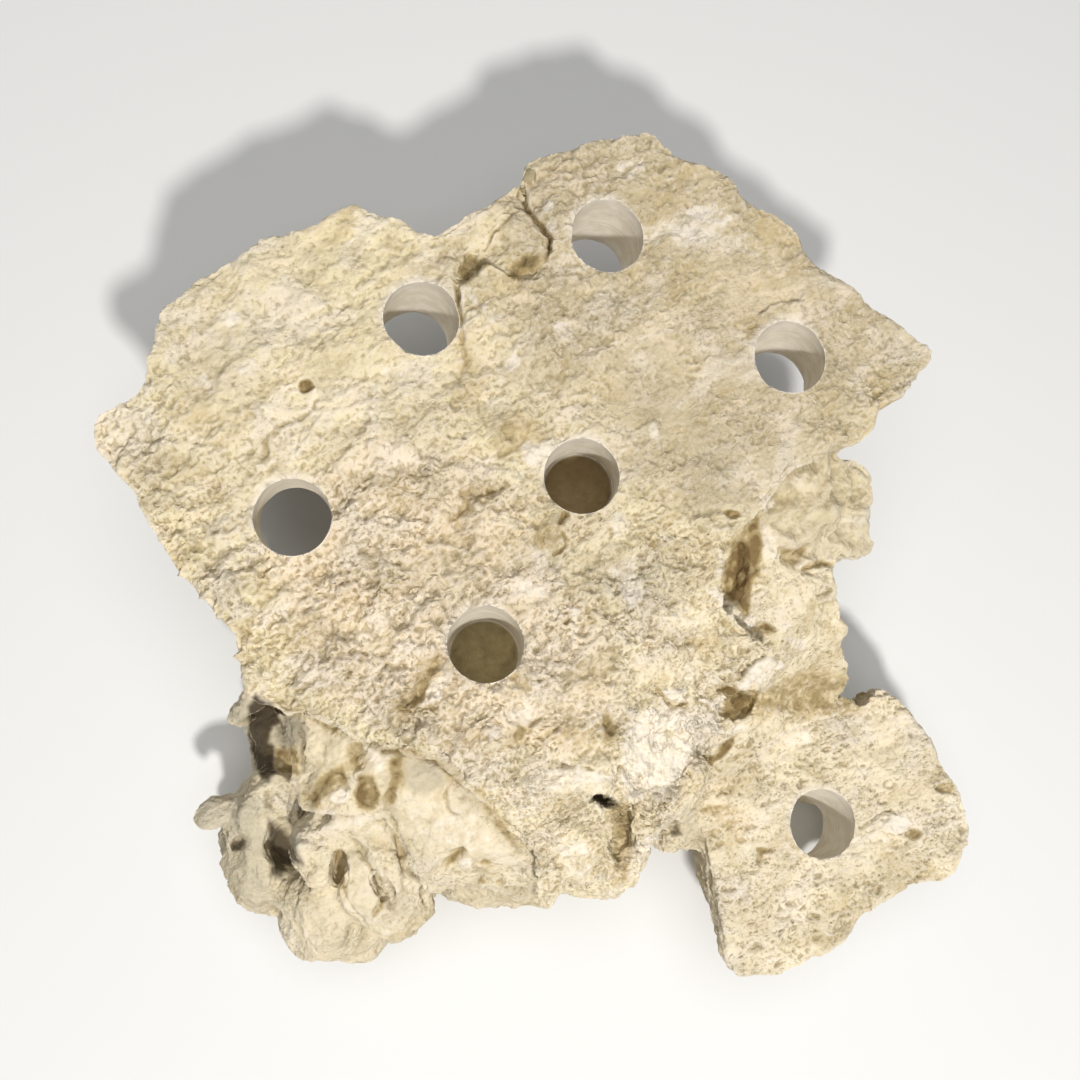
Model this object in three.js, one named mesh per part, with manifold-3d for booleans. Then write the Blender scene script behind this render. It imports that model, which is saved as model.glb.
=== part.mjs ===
// Aquarium reef rock: a flat, gritty shelf on a lumpy foot, with seven round holes drilled in it.
// Millimetres, +Z up. The origin is on the table, under the middle of the rock.
import * as THREE from 'three';
import { mergeVertices } from 'three/addons/utils/BufferGeometryUtils.js';
import { ImprovedNoise } from 'three/addons/math/ImprovedNoise.js';
import Module from 'manifold-3d';

const wasm = await Module();
wasm.setup();

// Driving dimensions
const SHELF_TOP = 58;
const SHELF_THICK = 19;
const BLOCK_TOP = 31;
const BLOCK_THICK = 18;
const BORE_RADIUS = 6.5;
const BORE_SIDES = 16;
const TOP_GRID = 6.6;
const UNDER_GRID = 15;

// The outlines and the middles of the lumps, pits and bores are read off a view from above and a
// little to the lower left. Each is a pair of millimetres to the right and up in that view, on a
// plane through the middle of the shelf's top, and seen() follows the sight line down to a height.
const MIDDLE = new THREE.Vector3(0, 0, SHELF_TOP);
const EYE = new THREE.Vector3(-20, -22, SHELF_TOP + 210);
const AHEAD = MIDDLE.clone().sub(EYE).normalize();
const RIGHT = AHEAD.clone().cross(new THREE.Vector3(0, 1, 0)).normalize();
const UP = RIGHT.clone().cross(AHEAD);

function seen(right, up, height) {
  const spot = MIDDLE.clone().addScaledVector(RIGHT, right).addScaledVector(UP, up);
  const sight = spot.sub(EYE);
  return EYE.clone().addScaledVector(sight, (height - EYE.z) / sight.z);
}

// The shelf's outline, clockwise from its left tip
const SHELF_OUTLINE = [
  [-76.7, 18.5], [-76.4, 20.4], [-74.3, 22.3], [-69.7, 24.3], [-67, 26.8], [-66.8, 29.4],
  [-65.7, 32.8], [-65.1, 34.2], [-65.6, 36.5], [-65.3, 39], [-61.5, 41.7], [-59.6, 43.5],
  [-57, 44.8], [-54, 45.9], [-52.3, 48.1], [-47.7, 51.2], [-42.8, 52.4], [-39.7, 52.8],
  [-36.9, 53.7], [-34.2, 55.9], [-31.9, 56.6], [-28, 54.6], [-23, 53.6], [-21.2, 52.4],
  [-16.4, 52.4], [-13, 55.1], [-9.8, 56.6], [-7.6, 57.5], [-3.4, 60.5], [-2.9, 61.4], [-2, 63.6],
  [0.8, 65.1], [5.4, 66.8], [7.8, 66.9], [9.8, 68.5], [13.4, 68.8], [18.5, 69.7], [20, 69.3],
  [21.9, 66.8], [24.4, 64.2], [29.2, 63.2], [31.2, 62.4], [33.4, 60], [34.1, 58.5], [36.8, 56.8],
  [39.7, 55.7], [42.3, 53.9], [44.1, 51.5], [44.6, 49.5], [46.2, 47.1], [49.2, 44.8], [52.6, 43.6],
  [54.2, 42.1], [57.6, 39.4], [61, 37.7], [63.6, 35.6], [66.9, 33], [66.9, 31.3], [63.4, 27.1],
  [61.1, 24.6], [57.5, 22.3], [57.2, 20.6], [56.1, 18.4], [54.2, 16.8], [51.9, 16.1],
  [50.2, 16.3], [48.5, 14.6], [44.6, 12.7], [42.4, 11.4], [40.8, 9.2], [36.8, 3.7], [33.2, 0.2],
  [31.5, -3.9], [30.7, -7.8], [33.2, -11.2], [35.1, -14.7], [40.5, -19], [38.3, -23],
  [34.1, -25.4], [29.2, -24.7], [30.2, -29.8], [28, -36.4], [24.9, -44.2], [21.4, -52.4],
  [19.3, -53.2], [18, -55.3], [15.6, -57.6], [14.4, -60.4], [12, -62.8], [9, -62.7], [6.6, -61.7],
  [4.7, -64.6], [2.4, -67], [0.4, -65.6], [-0.5, -54.6], [-2.5, -51.9], [-4.9, -49.8],
  [-6.8, -47.6], [-8.6, -44.2], [-13.2, -41.4], [-17.5, -37.3], [-20.8, -36.8], [-25.3, -35.8],
  [-29.3, -34.2], [-32.2, -33.4], [-36.3, -31], [-39.8, -29.8], [-44.1, -29.5], [-46.4, -28.6],
  [-49, -27.1], [-50.3, -25.4], [-50.3, -23.2], [-50.8, -21.9], [-51.4, -18], [-52, -15.4],
  [-54.6, -12.5], [-56.8, -10.3], [-58.6, -8.5], [-60.8, -6.1], [-64.2, -0.8], [-66.3, 2.5],
  [-68, 5.4], [-69.2, 7.2], [-70.8, 9.7], [-74.2, 14.3], [-76.1, 16],
];

// The block's outline, clockwise from its upper left corner
const BLOCK_OUTLINE = [
  [24.9, -44.2], [27.1, -33.9], [35.6, -27.1], [44.1, -25.4], [52.3, -26.6], [54.6, -28.4],
  [57.6, -25.4], [59.5, -25.4], [62.2, -27.5], [64.6, -30.5], [67.6, -34.9], [69, -39.2],
  [70.7, -41], [71.9, -42.9], [72.2, -44.9], [72.9, -47.6], [72.8, -51.7], [70.4, -56.4],
  [67.9, -58.1], [66, -58], [63, -58.6], [58.3, -61.5], [54.3, -64.2], [51.8, -67.8],
  [48.1, -70.9], [44.1, -72.8], [41.3, -74.2], [33.7, -74.2], [32.2, -72], [30.3, -61.7],
  [28.3, -52],
];

// The slope at the right, from the coral-like lump beside the shelf down to the block
const SLOPE_OUTLINE = [
  [40.7, 12.7], [48.5, 14.8], [51.6, 14], [55, 14], [57.2, 11.1], [58, 7.6], [56.8, 5.9],
  [57, 4.2], [57.9, 0.3], [57.7, -0.8], [56.4, -2], [51.5, -2.2], [51.4, -3.8], [50.9, -5.3],
  [51, -6.6], [51.9, -10], [52.5, -13.1], [53.9, -13.9], [54.3, -14.8], [53.5, -17],
  [54.2, -18.8], [55.6, -20.2], [56.8, -23.5], [57.4, -26.5], [56, -31], [46, -34],
  [36, -42], [27, -45], [23, -36], [25.4, -10], [30.5, 6.8],
];

// The terrace under the shelf's lower left edge, down to the rock's lower edge
const TERRACE_OUTLINE = [
  [-43.2, -29], [-43.6, -37.3], [-44.9, -42.4], [-40.7, -46.6], [-35.6, -46.1], [-26.3, -47.6],
  [-23.6, -52.5], [-21.4, -56.9], [-19.5, -61.9], [-18, -62.8], [-14.1, -61.9], [-11, -62.7],
  [-8, -63.1], [-5.6, -62], [-3.7, -61.2], [-1.4, -62], [2.4, -63], [6, -58], [6, -38],
  [-20, -26], [-40, -22],
];

// Smooth random relief: octaves of noise, from -1 to 1, whose widest waves are as long as size
const field = new ImprovedNoise();
function waves(x, y, z, size, octaves = 3) {
  let sum = 0;
  let share = 0.6;
  let scale = 1 / size;
  for (let octave = 0; octave < octaves; octave++) {
    sum += share * field.noise(x * scale + 7.3 * octave, y * scale - 3.1 * octave, z * scale + 11.7);
    share *= 0.5;
    scale *= 2.1;
  }
  return sum * 1.6;
}

// A closed geometry as a solid that can be joined and cut
function solid(geometry) {
  geometry.deleteAttribute('normal');
  geometry.deleteAttribute('uv');
  const closed = mergeVertices(geometry, 1e-3);
  return new wasm.Manifold(new wasm.Mesh({
    numProp: 3,
    vertProperties: new Float32Array(closed.attributes.position.array),
    triVerts: new Uint32Array(closed.index.array),
  }));
}

// Moves every vertex of a geometry by a function of where it is
function reshape(geometry, move) {
  const places = geometry.attributes.position;
  const spot = new THREE.Vector3();
  for (let index = 0; index < places.count; index++) {
    spot.fromBufferAttribute(places, index);
    move(spot);
    places.setXYZ(index, spot.x, spot.y, spot.z);
  }
  return geometry;
}

// A soft dent or rise around a seen point, 1 in its middle and falling to 0 around it
function around(x, y, [right, up], [across, along], height) {
  const middle = seen(right, up, height);
  return Math.exp(-(((x - middle.x) / across) ** 2) - ((y - middle.y) / along) ** 2);
}

// A rough surface: a mean height less a list of soft dips, with two sizes of waves on it
function surface({ height, dips = [], broad = 1.1, fine = 0.8, seed = 3 }) {
  return (x, y) => {
    let level = height + broad * waves(x, y, seed, 34, 2) + fine * waves(x, y, seed + 6, 13, 2);
    for (const dip of dips) {
      level -= dip.depth * around(x, y, dip.at, dip.reach, height);
    }
    return level;
  };
}

// The plates: each has its outline, the mean height of its top and its thickness. Its dips are
// how far the top lies under that height, or over it where they are negative.
const SHELF = {
  outline: SHELF_OUTLINE,
  height: SHELF_TOP,
  thick: SHELF_THICK,
  dips: [
    { at: [9, -62], reach: [17, 13], depth: 11 },
    { at: [30, -38], reach: [12, 15], depth: 7 },
    { at: [38, -16], reach: [9, 12], depth: 4 },
    { at: [-76, 19], reach: [12, 9], depth: 2.5 },
    { at: [-50, -28], reach: [14, 8], depth: 3 },
    { at: [68, 32], reach: [16, 12], depth: 2 },
    { at: [40.7, 38], reach: [5, 3.5], depth: 1.8 },
    { at: [-30, -30], reach: [9, 5], depth: 1.5 },
    { at: [2, 30], reach: [20, 16], depth: -1 },
    { at: [-34, 25], reach: [18, 14], depth: -0.8 },
  ],
};
const BLOCK = {
  outline: BLOCK_OUTLINE,
  height: BLOCK_TOP,
  thick: BLOCK_THICK,
  seed: 33,
  dips: [
    { at: [50, -28], reach: [22, 10], depth: 1.5 },
    { at: [40, -74], reach: [16, 8], depth: 1.5 },
    { at: [42, -53], reach: [4, 2], depth: 1 },
    { at: [62, -49], reach: [5, 3], depth: -1.2 },
  ],
};
const SLOPE = {
  outline: SLOPE_OUTLINE,
  height: 51,
  thick: 27,
  seed: 51,
  dips: [
    { at: [53, -29], reach: [17, 10], depth: 17 },
    { at: [34, -42], reach: [14, 10], depth: 14 },
    { at: [57, 6], reach: [6, 12], depth: 4 },
    { at: [48, -3.4], reach: [9, 2.2], depth: 4.5 },
    { at: [53, -13], reach: [6, 9], depth: 5 },
    { at: [47, 7], reach: [5, 5], depth: -2 },
  ],
};
const TERRACE = {
  outline: TERRACE_OUTLINE,
  height: 47,
  thick: 25,
  seed: 71,
  dips: [
    { at: [-12, -67], reach: [20, 10], depth: 19 },
    { at: [-48, -41], reach: [9, 10], depth: 11 },
    { at: [-30, -50], reach: [10, 5], depth: 6 },
    { at: [-25, -39], reach: [9, 5], depth: -2 },
    { at: [-6, -50], reach: [8, 7], depth: -3 },
  ],
};

// A block of the given box whose top or underside is a rough grid
function roughBox(box, cell, surface, side) {
  const size = box.getSize(new THREE.Vector3());
  const middle = box.getCenter(new THREE.Vector3());
  const across = Math.ceil(size.x / cell);
  const along = Math.ceil(size.y / cell);
  const grid = new THREE.BoxGeometry(size.x, size.y, size.z, across, along, 1);
  grid.translate(middle.x, middle.y, middle.z);
  reshape(grid, (spot) => {
    if ((spot.z - middle.z) * side > 0) {
      spot.z = surface(spot.x, spot.y);
    }
  });
  return solid(grid);
}

// A plate with a broken edge: an outline's prism, cut by a rough top and a rougher underside
const EDGE_ROOM = 8;
const EDGE_TAPER = 0.14;
const EDGE_WAVE = 2;
const EDGE_TRUE = 5;
function plate(form) {
  const { outline, height, thick, seed = 0 } = form;
  const corners = outline.map(([right, up]) => seen(right, up, height));
  const box = new THREE.Box3().setFromPoints(corners).expandByScalar(EDGE_ROOM);
  box.min.z = height - thick - EDGE_ROOM;
  box.max.z = height + EDGE_ROOM;
  const middle = box.getCenter(new THREE.Vector3());
  const shape = new THREE.Shape(corners.map((corner) => new THREE.Vector2(corner.x, corner.y)));
  const depth = box.max.z - box.min.z;
  const prism = new THREE.ExtrudeGeometry(shape, { depth, steps: 2, bevelEnabled: false });
  reshape(prism, (spot) => {
    const { x, y } = spot;
    const level = Math.round(2 * spot.z / depth);
    spot.z = [box.min.z, height - EDGE_TRUE, box.max.z][level];
    const shrink = level === 0 ? 1 - EDGE_TAPER : 1;
    const wave = [EDGE_WAVE, 0.5 * EDGE_WAVE, 0][level];
    spot.x = middle.x + (x - middle.x) * shrink + wave * waves(x, y, spot.z, 12, 2);
    spot.y = middle.y + (y - middle.y) * shrink + wave * waves(y, spot.z, x, 12, 2);
  });
  const underside = surface({ height: height - thick, broad: 3, fine: 0, seed: seed + 21 });
  const upper = roughBox(box, TOP_GRID, surface(form), 1);
  const lower = roughBox(box, UNDER_GRID, underside, -1);
  return solid(prism).intersect(upper).intersect(lower);
}

// A lump of rock: a ball with a rough skin, stretched to its half sizes and turned about Z
function lump({ at, size, turn = 0, rough = 0.22, detail = 2 }) {
  const ball = new THREE.IcosahedronGeometry(1, detail);
  reshape(ball, (spot) => {
    const bumps = waves(spot.x + at.x, spot.y + at.y, spot.z + at.z, 0.9, 2);
    spot.multiplyScalar(1 + rough * bumps);
  });
  ball.scale(...size);
  ball.rotateZ(THREE.MathUtils.degToRad(turn));
  ball.translate(at.x, at.y, at.z);
  return solid(ball);
}

// A crack in the shelf's top: a thin upright wedge along seen points, narrow at both ends
const CRACK_DEPTH = 2.6;
function crack(points, half) {
  const route = points.map(([right, up]) => seen(right, up, SHELF_TOP));
  const left = [];
  const right = [];
  route.forEach((spot, index) => {
    const before = route[Math.max(0, index - 1)];
    const after = route[Math.min(route.length - 1, index + 1)];
    const ahead = after.clone().sub(before).normalize();
    const tip = index === 0 || index === route.length - 1;
    const side = new THREE.Vector2(-ahead.y, ahead.x).multiplyScalar(tip ? 0.2 * half : half);
    left.push(new THREE.Vector2(spot.x, spot.y).add(side));
    right.unshift(new THREE.Vector2(spot.x, spot.y).sub(side));
  });
  const shape = new THREE.Shape([...left, ...right]);
  const depth = 3 * CRACK_DEPTH;
  const wedge = new THREE.ExtrudeGeometry(shape, { depth, steps: 1, bevelEnabled: false });
  wedge.translate(0, 0, SHELF_TOP - CRACK_DEPTH);
  return solid(wedge);
}

// Lumps of the foot at the lower left, under and beyond the terrace
const LOWER_LEFT = [
  { at: seen(-27, -56, 27), size: [9.5, 13, 12], turn: 14 },
  { at: seen(-36.5, -52.5, 29), size: [7.5, 8, 9.5], rough: 0.16, detail: 1 },
  { at: seen(-24, -60, 22), size: [7, 8.2, 12], rough: 0.12, detail: 1 },
  { at: seen(-35.4, -60.5, 17), size: [12, 12, 15], rough: 0.2 },
  { at: seen(-31, -62.8, 14), size: [9.2, 9.8, 13], rough: 0.14, detail: 1 },
  { at: seen(-46.6, -51.6, 15), size: [8.5, 12.5, 13], turn: -10, rough: 0.18 },
  { at: seen(-46, -44.8, 22), size: [7, 8, 9], turn: -30, detail: 1 },
  { at: seen(-54.2, -46.2, 22), size: [5, 3, 4], turn: 25, detail: 1 },
  { at: seen(-42, -37, 12), size: [9, 11, 12], rough: 0.18, detail: 1 },
  { at: seen(-45.4, -31, 12), size: [5.6, 7, 10], rough: 0.12, detail: 1 },
  { at: seen(-27, -47, 12), size: [22, 16, 18], turn: -15, rough: 0.12, detail: 1 },
  { at: seen(-6, -52, 13), size: [19, 12, 19], rough: 0.16, detail: 1 },
];

// The small knob that sticks out under the shelf's lower left corner, and the stalk that carries it
const KNOB = [
  { at: seen(-50.7, -29.2, 31), size: [2.8, 3, 3.2], rough: 0.06 },
  { at: seen(-44.6, -22.6, 35), size: [12, 3.4, 5.5], turn: 48, rough: 0.12 },
];

// Lumps at the right: under the slope, under the shelf's lower tongue and beside the block
const RIGHT_SIDE = [
  { at: seen(36, -9, 24), size: [14, 18, 17], rough: 0.14, detail: 1 },
  { at: seen(8.8, -50.5, 36), size: [10.6, 11.8, 13], rough: 0.14 },
  { at: seen(23, -47.5, 22), size: [8, 6.5, 9], rough: 0.14, detail: 1 },
  { at: seen(32.6, -55.5, 15), size: [7.2, 12, 12], turn: 6, rough: 0.12, detail: 1 },
];

// The trunk under the shelf and the foot under the block, which stand on the table
const TRUNK = [
  { at: new THREE.Vector3(8, -13, 34), size: [38, 27, 14], rough: 0.1, detail: 1 },
  { at: new THREE.Vector3(3, -16, 18), size: [31, 27, 27], rough: 0.2 },
  { at: new THREE.Vector3(26, 3, 18), size: [18, 16, 22], rough: 0.24, detail: 1 },
  { at: new THREE.Vector3(-21, -10, 20), size: [17, 17, 22], turn: 30, rough: 0.26 },
  { at: new THREE.Vector3(1, 12, 24), size: [18, 13, 20], turn: -15, rough: 0.26, detail: 1 },
  { at: new THREE.Vector3(12, 17, 32), size: [15, 12, 12], rough: 0.14, detail: 1 },
  { at: new THREE.Vector3(46, -38, 8), size: [23, 15, 14], turn: -10, rough: 0.22, detail: 1 },
  { at: new THREE.Vector3(34, -24, 12), size: [13, 12, 18], rough: 0.24, detail: 1 },
  { at: new THREE.Vector3(22, -40, 24), size: [15, 14, 25], turn: 20, rough: 0.16, detail: 1 },
];

// Pits and crevices, as rough hollows that are cut out
const HOLLOWS = [
  { at: seen(34.2, -5.5, 56), size: [2.8, 8.4, 12], turn: -14 },
  { at: seen(34.6, -28.2, 46), size: [6, 3.6, 7], turn: 10 },
  { at: seen(31.4, -34, 46), size: [3.6, 1.8, 5], turn: 25 },
  { at: seen(-2.6, 45.4, 58.5), size: [3.1, 1.6, 2.6], turn: 15 },
  { at: seen(-11.6, 46, 58.5), size: [3.6, 2.3, 2.8], turn: 40 },
  { at: seen(-39.7, 26.3, 57), size: [1.4, 1.3, 4], detail: 0 },
  { at: seen(10.4, -43.8, 54), size: [2.6, 1.4, 5], turn: -12 },
  { at: seen(13.8, -50.5, 51), size: [1.9, 6.2, 5], turn: 4 },
  { at: seen(-43.6, -51.9, 26), size: [3.2, 6, 8], turn: 12 },
  { at: seen(-51.4, -51.5, 26), size: [2, 1.7, 4], detail: 0 },
  { at: seen(-29.5, -43, 48), size: [2.5, 3.6, 5], turn: 10 },
  { at: seen(-36.5, -42.2, 47), size: [3.6, 2.2, 3.4], turn: 30 },
  { at: seen(-34.1, -55.4, 34), size: [1.5, 4.4, 6], turn: -4 },
  { at: seen(-26.2, -59.5, 37), size: [1.6, 5, 5], turn: 28 },
  { at: seen(42.9, -2.6, 53), size: [3, 1.8, 4], turn: -8 },
];

// Cracks across the shelf's top
const CRACKS = [
  { points: [[-3, 60.5], [-1.4, 55.3], [1.5, 50.5], [1.2, 47.8], [-0.8, 46.3]], half: 0.5 },
  { points: [[-13.7, 43.4], [-13.4, 38.5], [-13, 34.5], [-12.5, 29.3]], half: 0.45 },
  { points: [[-16.3, -19], [-19.3, -21.9], [-21.5, -27.1], [-25, -30], [-24, -33]], half: 0.6 },
];

// The bores' mouths and the ends of their walls. A deep one goes through the shelf, a blind one
// ends in a hollow over the trunk, and one more goes through the block.
const DEEP_BORES = [
  { mouth: [-20.2, 37.3], end: [-21.8, 32.6] },
  { mouth: [11.4, 51.4], end: [8.2, 45.1] },
  { mouth: [42.4, 31], end: [39, 26] },
  { mouth: [-42, 3.9], end: [-41.2, 2.7] },
];
const BLIND_BORES = [
  { mouth: [7.1, 10.8], end: [6, 9.2] },
  { mouth: [-9.2, -17.6], end: [-9.4, -18.6] },
];
const BLOCK_BORE = { mouth: [48, -48.1], end: [42.9, -48.3] };

// A bore's cutting cylinder along the line from its mouth to its end, and past them
function bore({ mouth, end }, top, bottom, over, under) {
  const start = seen(...mouth, top);
  const finish = seen(...end, bottom);
  const along = finish.clone().sub(start).normalize();
  start.addScaledVector(along, -over);
  finish.addScaledVector(along, under);
  const length = start.distanceTo(finish);
  const cutter = new THREE.CylinderGeometry(BORE_RADIUS, BORE_RADIUS, length, BORE_SIDES, 1);
  const turn = new THREE.Quaternion().setFromUnitVectors(new THREE.Vector3(0, -1, 0), along);
  cutter.applyQuaternion(turn);
  cutter.translate(...start.add(finish).multiplyScalar(0.5));
  return solid(cutter);
}

// Everything under the table's surface is cut off flat
function ground() {
  const size = 400;
  const slab = new THREE.BoxGeometry(size, size, size);
  slab.translate(0, 0, -size / 2);
  return solid(slab);
}

function bores() {
  const over = 6;
  const under = SHELF_TOP - SHELF_THICK;
  const cutters = DEEP_BORES.map((place) => bore(place, SHELF_TOP, under, over, over));
  for (const place of BLIND_BORES) {
    cutters.push(bore(place, SHELF_TOP, under, over, 0));
    const end = seen(...place.end, under);
    const pocket = new THREE.Vector3(end.x, end.y, under + 0.5);
    cutters.push(lump({ at: pocket, size: [8.2, 7.8, 5], rough: 0.14, detail: 1 }));
  }
  const blockEnd = BLOCK_TOP - BLOCK_THICK;
  cutters.push(bore(BLOCK_BORE, BLOCK_TOP, blockEnd, over, blockEnd + over));
  return cutters;
}

function rock() {
  let stone = plate(SHELF).add(plate(BLOCK)).add(plate(SLOPE)).add(plate(TERRACE));
  for (const piece of [...LOWER_LEFT, ...RIGHT_SIDE, ...TRUNK]) {
    stone = stone.add(lump(piece));
  }
  for (const hollow of HOLLOWS) {
    stone = stone.subtract(lump({ detail: 1, ...hollow }));
  }
  for (const piece of KNOB) {
    stone = stone.add(lump({ detail: 1, ...piece }));
  }
  for (const { points, half } of CRACKS) {
    stone = stone.subtract(crack(points, half));
  }
  for (const cutter of bores()) {
    stone = stone.subtract(cutter);
  }
  return stone.subtract(ground());
}

// The finished solid as a geometry, with its footprint's middle over the origin
function geometryOf(stone) {
  const mesh = stone.getMesh();
  const geometry = new THREE.BufferGeometry();
  geometry.setAttribute('position', new THREE.BufferAttribute(mesh.vertProperties, 3));
  geometry.setIndex(new THREE.BufferAttribute(mesh.triVerts, 1));
  geometry.computeBoundingBox();
  const { min, max } = geometry.boundingBox;
  geometry.translate(-(min.x + max.x) / 2, -(min.y + max.y) / 2, -min.z);
  geometry.computeVertexNormals();
  return geometry;
}

const limestone = new THREE.MeshStandardMaterial({ color: 0xdccca5, roughness: 0.95, metalness: 0 });
const reefRock = new THREE.Mesh(geometryOf(rock()), limestone);
reefRock.name = 'reef_rock';

const aquariumRock = new THREE.Group();
aquariumRock.add(reefRock);
export default aquariumRock;
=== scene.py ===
# Aquarium reef rock: the stone's finished surface, its material, a pale floor and soft light.
import math
from collections import namedtuple

import bmesh
import bpy
import numpy as np
from mathutils import Matrix, Vector


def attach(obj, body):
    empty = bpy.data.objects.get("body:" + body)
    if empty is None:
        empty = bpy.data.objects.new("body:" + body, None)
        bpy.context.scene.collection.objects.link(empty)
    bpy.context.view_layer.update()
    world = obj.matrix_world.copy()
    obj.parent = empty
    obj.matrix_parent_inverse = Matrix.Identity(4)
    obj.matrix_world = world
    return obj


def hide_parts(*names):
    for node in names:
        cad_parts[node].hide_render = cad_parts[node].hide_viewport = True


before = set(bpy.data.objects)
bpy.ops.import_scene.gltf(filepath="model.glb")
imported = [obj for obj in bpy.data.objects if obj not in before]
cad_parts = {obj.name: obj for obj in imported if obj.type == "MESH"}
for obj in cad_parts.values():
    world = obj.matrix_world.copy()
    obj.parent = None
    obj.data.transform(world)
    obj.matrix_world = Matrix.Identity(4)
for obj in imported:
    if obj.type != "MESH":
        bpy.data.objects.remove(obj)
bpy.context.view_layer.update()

MM = 0.001
TINY = 1e-6

# The photograph's view. Lengths and places are in millimetres in the part's frame. A place that is
# read off the photograph is a pair of millimetres to the right and up on the plane through
# VIEW_MIDDLE that faces the eye, where one millimetre is PIXELS_PER_MM pixels.
VIEW_MIDDLE = np.array([-5.43, 3.23, 58.0])
VIEW_EYE = VIEW_MIDDLE + np.array([-20.0, -22.0, 210.0])
VIEW_REACH = np.linalg.norm(VIEW_MIDDLE - VIEW_EYE)
AHEAD = (VIEW_MIDDLE - VIEW_EYE) / VIEW_REACH
RIGHT = np.cross(AHEAD, [0.0, 1.0, 0.0])
RIGHT /= np.linalg.norm(RIGHT)
UP = np.cross(RIGHT, AHEAD)
PIXELS_PER_MM = 5.9
PHOTO_PIXELS = 1080
SENSOR = 36.0

SHELF_TOP = 58.0
SHELF_UNDER = 39.0
BLOCK_TOP = 31.0
BLOCK_UNDER = 13.0
BORE_RADIUS = 6.5


def seen(right, up, height):
    """The place at a height that the photograph shows at a pair of view-plane millimetres."""
    spot = VIEW_MIDDLE + right * RIGHT + up * UP - VIEW_EYE
    return VIEW_EYE + spot * (height - VIEW_EYE[2]) / spot[2]


def on_view_plane(points):
    """Where points appear in the photograph, as view-plane millimetres to the right and up."""
    rays = points - VIEW_EYE
    scale = VIEW_REACH / (rays @ AHEAD)
    return np.stack([(rays @ RIGHT) * scale, (rays @ UP) * scale], axis=1)


def toward_eye(points):
    rays = VIEW_EYE - points
    return rays / np.linalg.norm(rays, axis=1, keepdims=True)


def facing_of(points, normals):
    """The cosine between each normal and the way to the photograph's eye."""
    return np.einsum("ij,ij->i", normals, toward_eye(points))


# Bores: mouth and end of the wall as view-plane millimetres, the heights of both, and if it goes
# right through
Bore = namedtuple("Bore", "mouth end top under through")
BORES = [
    Bore((-20.2, 37.3), (-21.8, 32.6), SHELF_TOP, SHELF_UNDER, True),
    Bore((11.4, 51.4), (8.2, 45.1), SHELF_TOP, SHELF_UNDER, True),
    Bore((42.4, 31.0), (39.0, 26.0), SHELF_TOP, SHELF_UNDER, True),
    Bore((-42.0, 3.9), (-41.2, 2.7), SHELF_TOP, SHELF_UNDER, True),
    Bore((7.1, 10.8), (6.35, 8.7), SHELF_TOP, SHELF_UNDER, False),
    Bore((-9.2, -17.6), (-9.45, -19.5), SHELF_TOP, SHELF_UNDER, False),
    Bore((48.0, -48.1), (42.9, -48.3), BLOCK_TOP, BLOCK_UNDER, True),
]

# Random relief: a block of random gradients and one of random numbers, which repeat
BLOCK_CELLS = 32
SEEDS = np.random.default_rng(7)
GRADIENTS = SEEDS.normal(size=(BLOCK_CELLS, BLOCK_CELLS, BLOCK_CELLS, 3)).astype(np.float32)
GRADIENTS /= np.linalg.norm(GRADIENTS, axis=-1, keepdims=True)
JITTER = SEEDS.random((BLOCK_CELLS, BLOCK_CELLS, BLOCK_CELLS, 3)).astype(np.float32)


def ramp(values, low, high):
    """0 at low and beyond, 1 at high and beyond, and a smooth rise between them."""
    part = np.clip((values - low) / (high - low), 0, 1)
    return part * part * (3 - 2 * part)


def noise(points, size, seed=0):
    """Smooth random values from about -1 to 1, whose waves are as long as size."""
    spots = points / size + np.array([3.7, 11.3, 7.9]) * seed
    cells = np.floor(spots).astype(np.int64)
    part = (spots - cells).astype(np.float32)
    ease = part * part * part * (part * (part * 6 - 15) + 10)
    total = np.zeros(len(points), np.float32)
    for corner in np.ndindex(2, 2, 2):
        at = (cells + corner) % BLOCK_CELLS
        slope = GRADIENTS[at[:, 0], at[:, 1], at[:, 2]]
        share = np.prod(np.where(np.array(corner), ease, 1 - ease), axis=1)
        total += share * np.einsum("ij,ij->i", slope, part - np.array(corner, np.float32))
    return total * 1.6


def layers(points, size, count=3, seed=0, fade=0.5):
    """Noise on several sizes, each half as long as the last and weaker by fade."""
    total = np.zeros(len(points), np.float32)
    share = 1.0
    for step in range(count):
        total += share * noise(points, size / 2.03**step, seed + step)
        share *= fade
    return total


def billow(points, size, count=3, seed=0, fade=0.5):
    """Rounded bumps with sharp creases between them, from 0 in the creases to about 1."""
    total = np.zeros(len(points), np.float32)
    share = 1.0
    for step in range(count):
        total += share * np.abs(noise(points, size / 2.03**step, seed + step)) * 1.6
        share *= fade
    return total / ((1 - fade**count) / (1 - fade))


def crumbs(points, size, share, seed=0):
    """Scattered grains about size apart: their height from 0 to 1, with level ground between."""
    spots = (points / size + 3.3 * seed).astype(np.float32)
    home = np.floor(spots).astype(np.int64)
    height = np.zeros(len(points), np.float32)
    for corner in np.ndindex(3, 3, 3):
        cell = home + np.array(corner) - 1
        at = cell % BLOCK_CELLS
        middle = cell + JITTER[at[:, 0], at[:, 1], at[:, 2]]
        luck = JITTER[at[:, 2], at[:, 0], at[:, 1], 0] / share
        reach = 0.72 - 0.4 * luck
        dome = 1 - ((spots - middle) ** 2).sum(axis=1) / reach**2
        np.maximum(height, np.where(luck < 1, dome * (1 - 0.6 * luck), 0), out=height)
    return height


def streaked(points, degrees, stretch):
    """The points with their lengths along a level direction made shorter, for drawn-out relief."""
    angle = math.radians(degrees)
    along = np.array([math.cos(angle), math.sin(angle), 0.0])
    return points - (points @ along)[:, None] * along * (1 - 1 / stretch)


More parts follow.
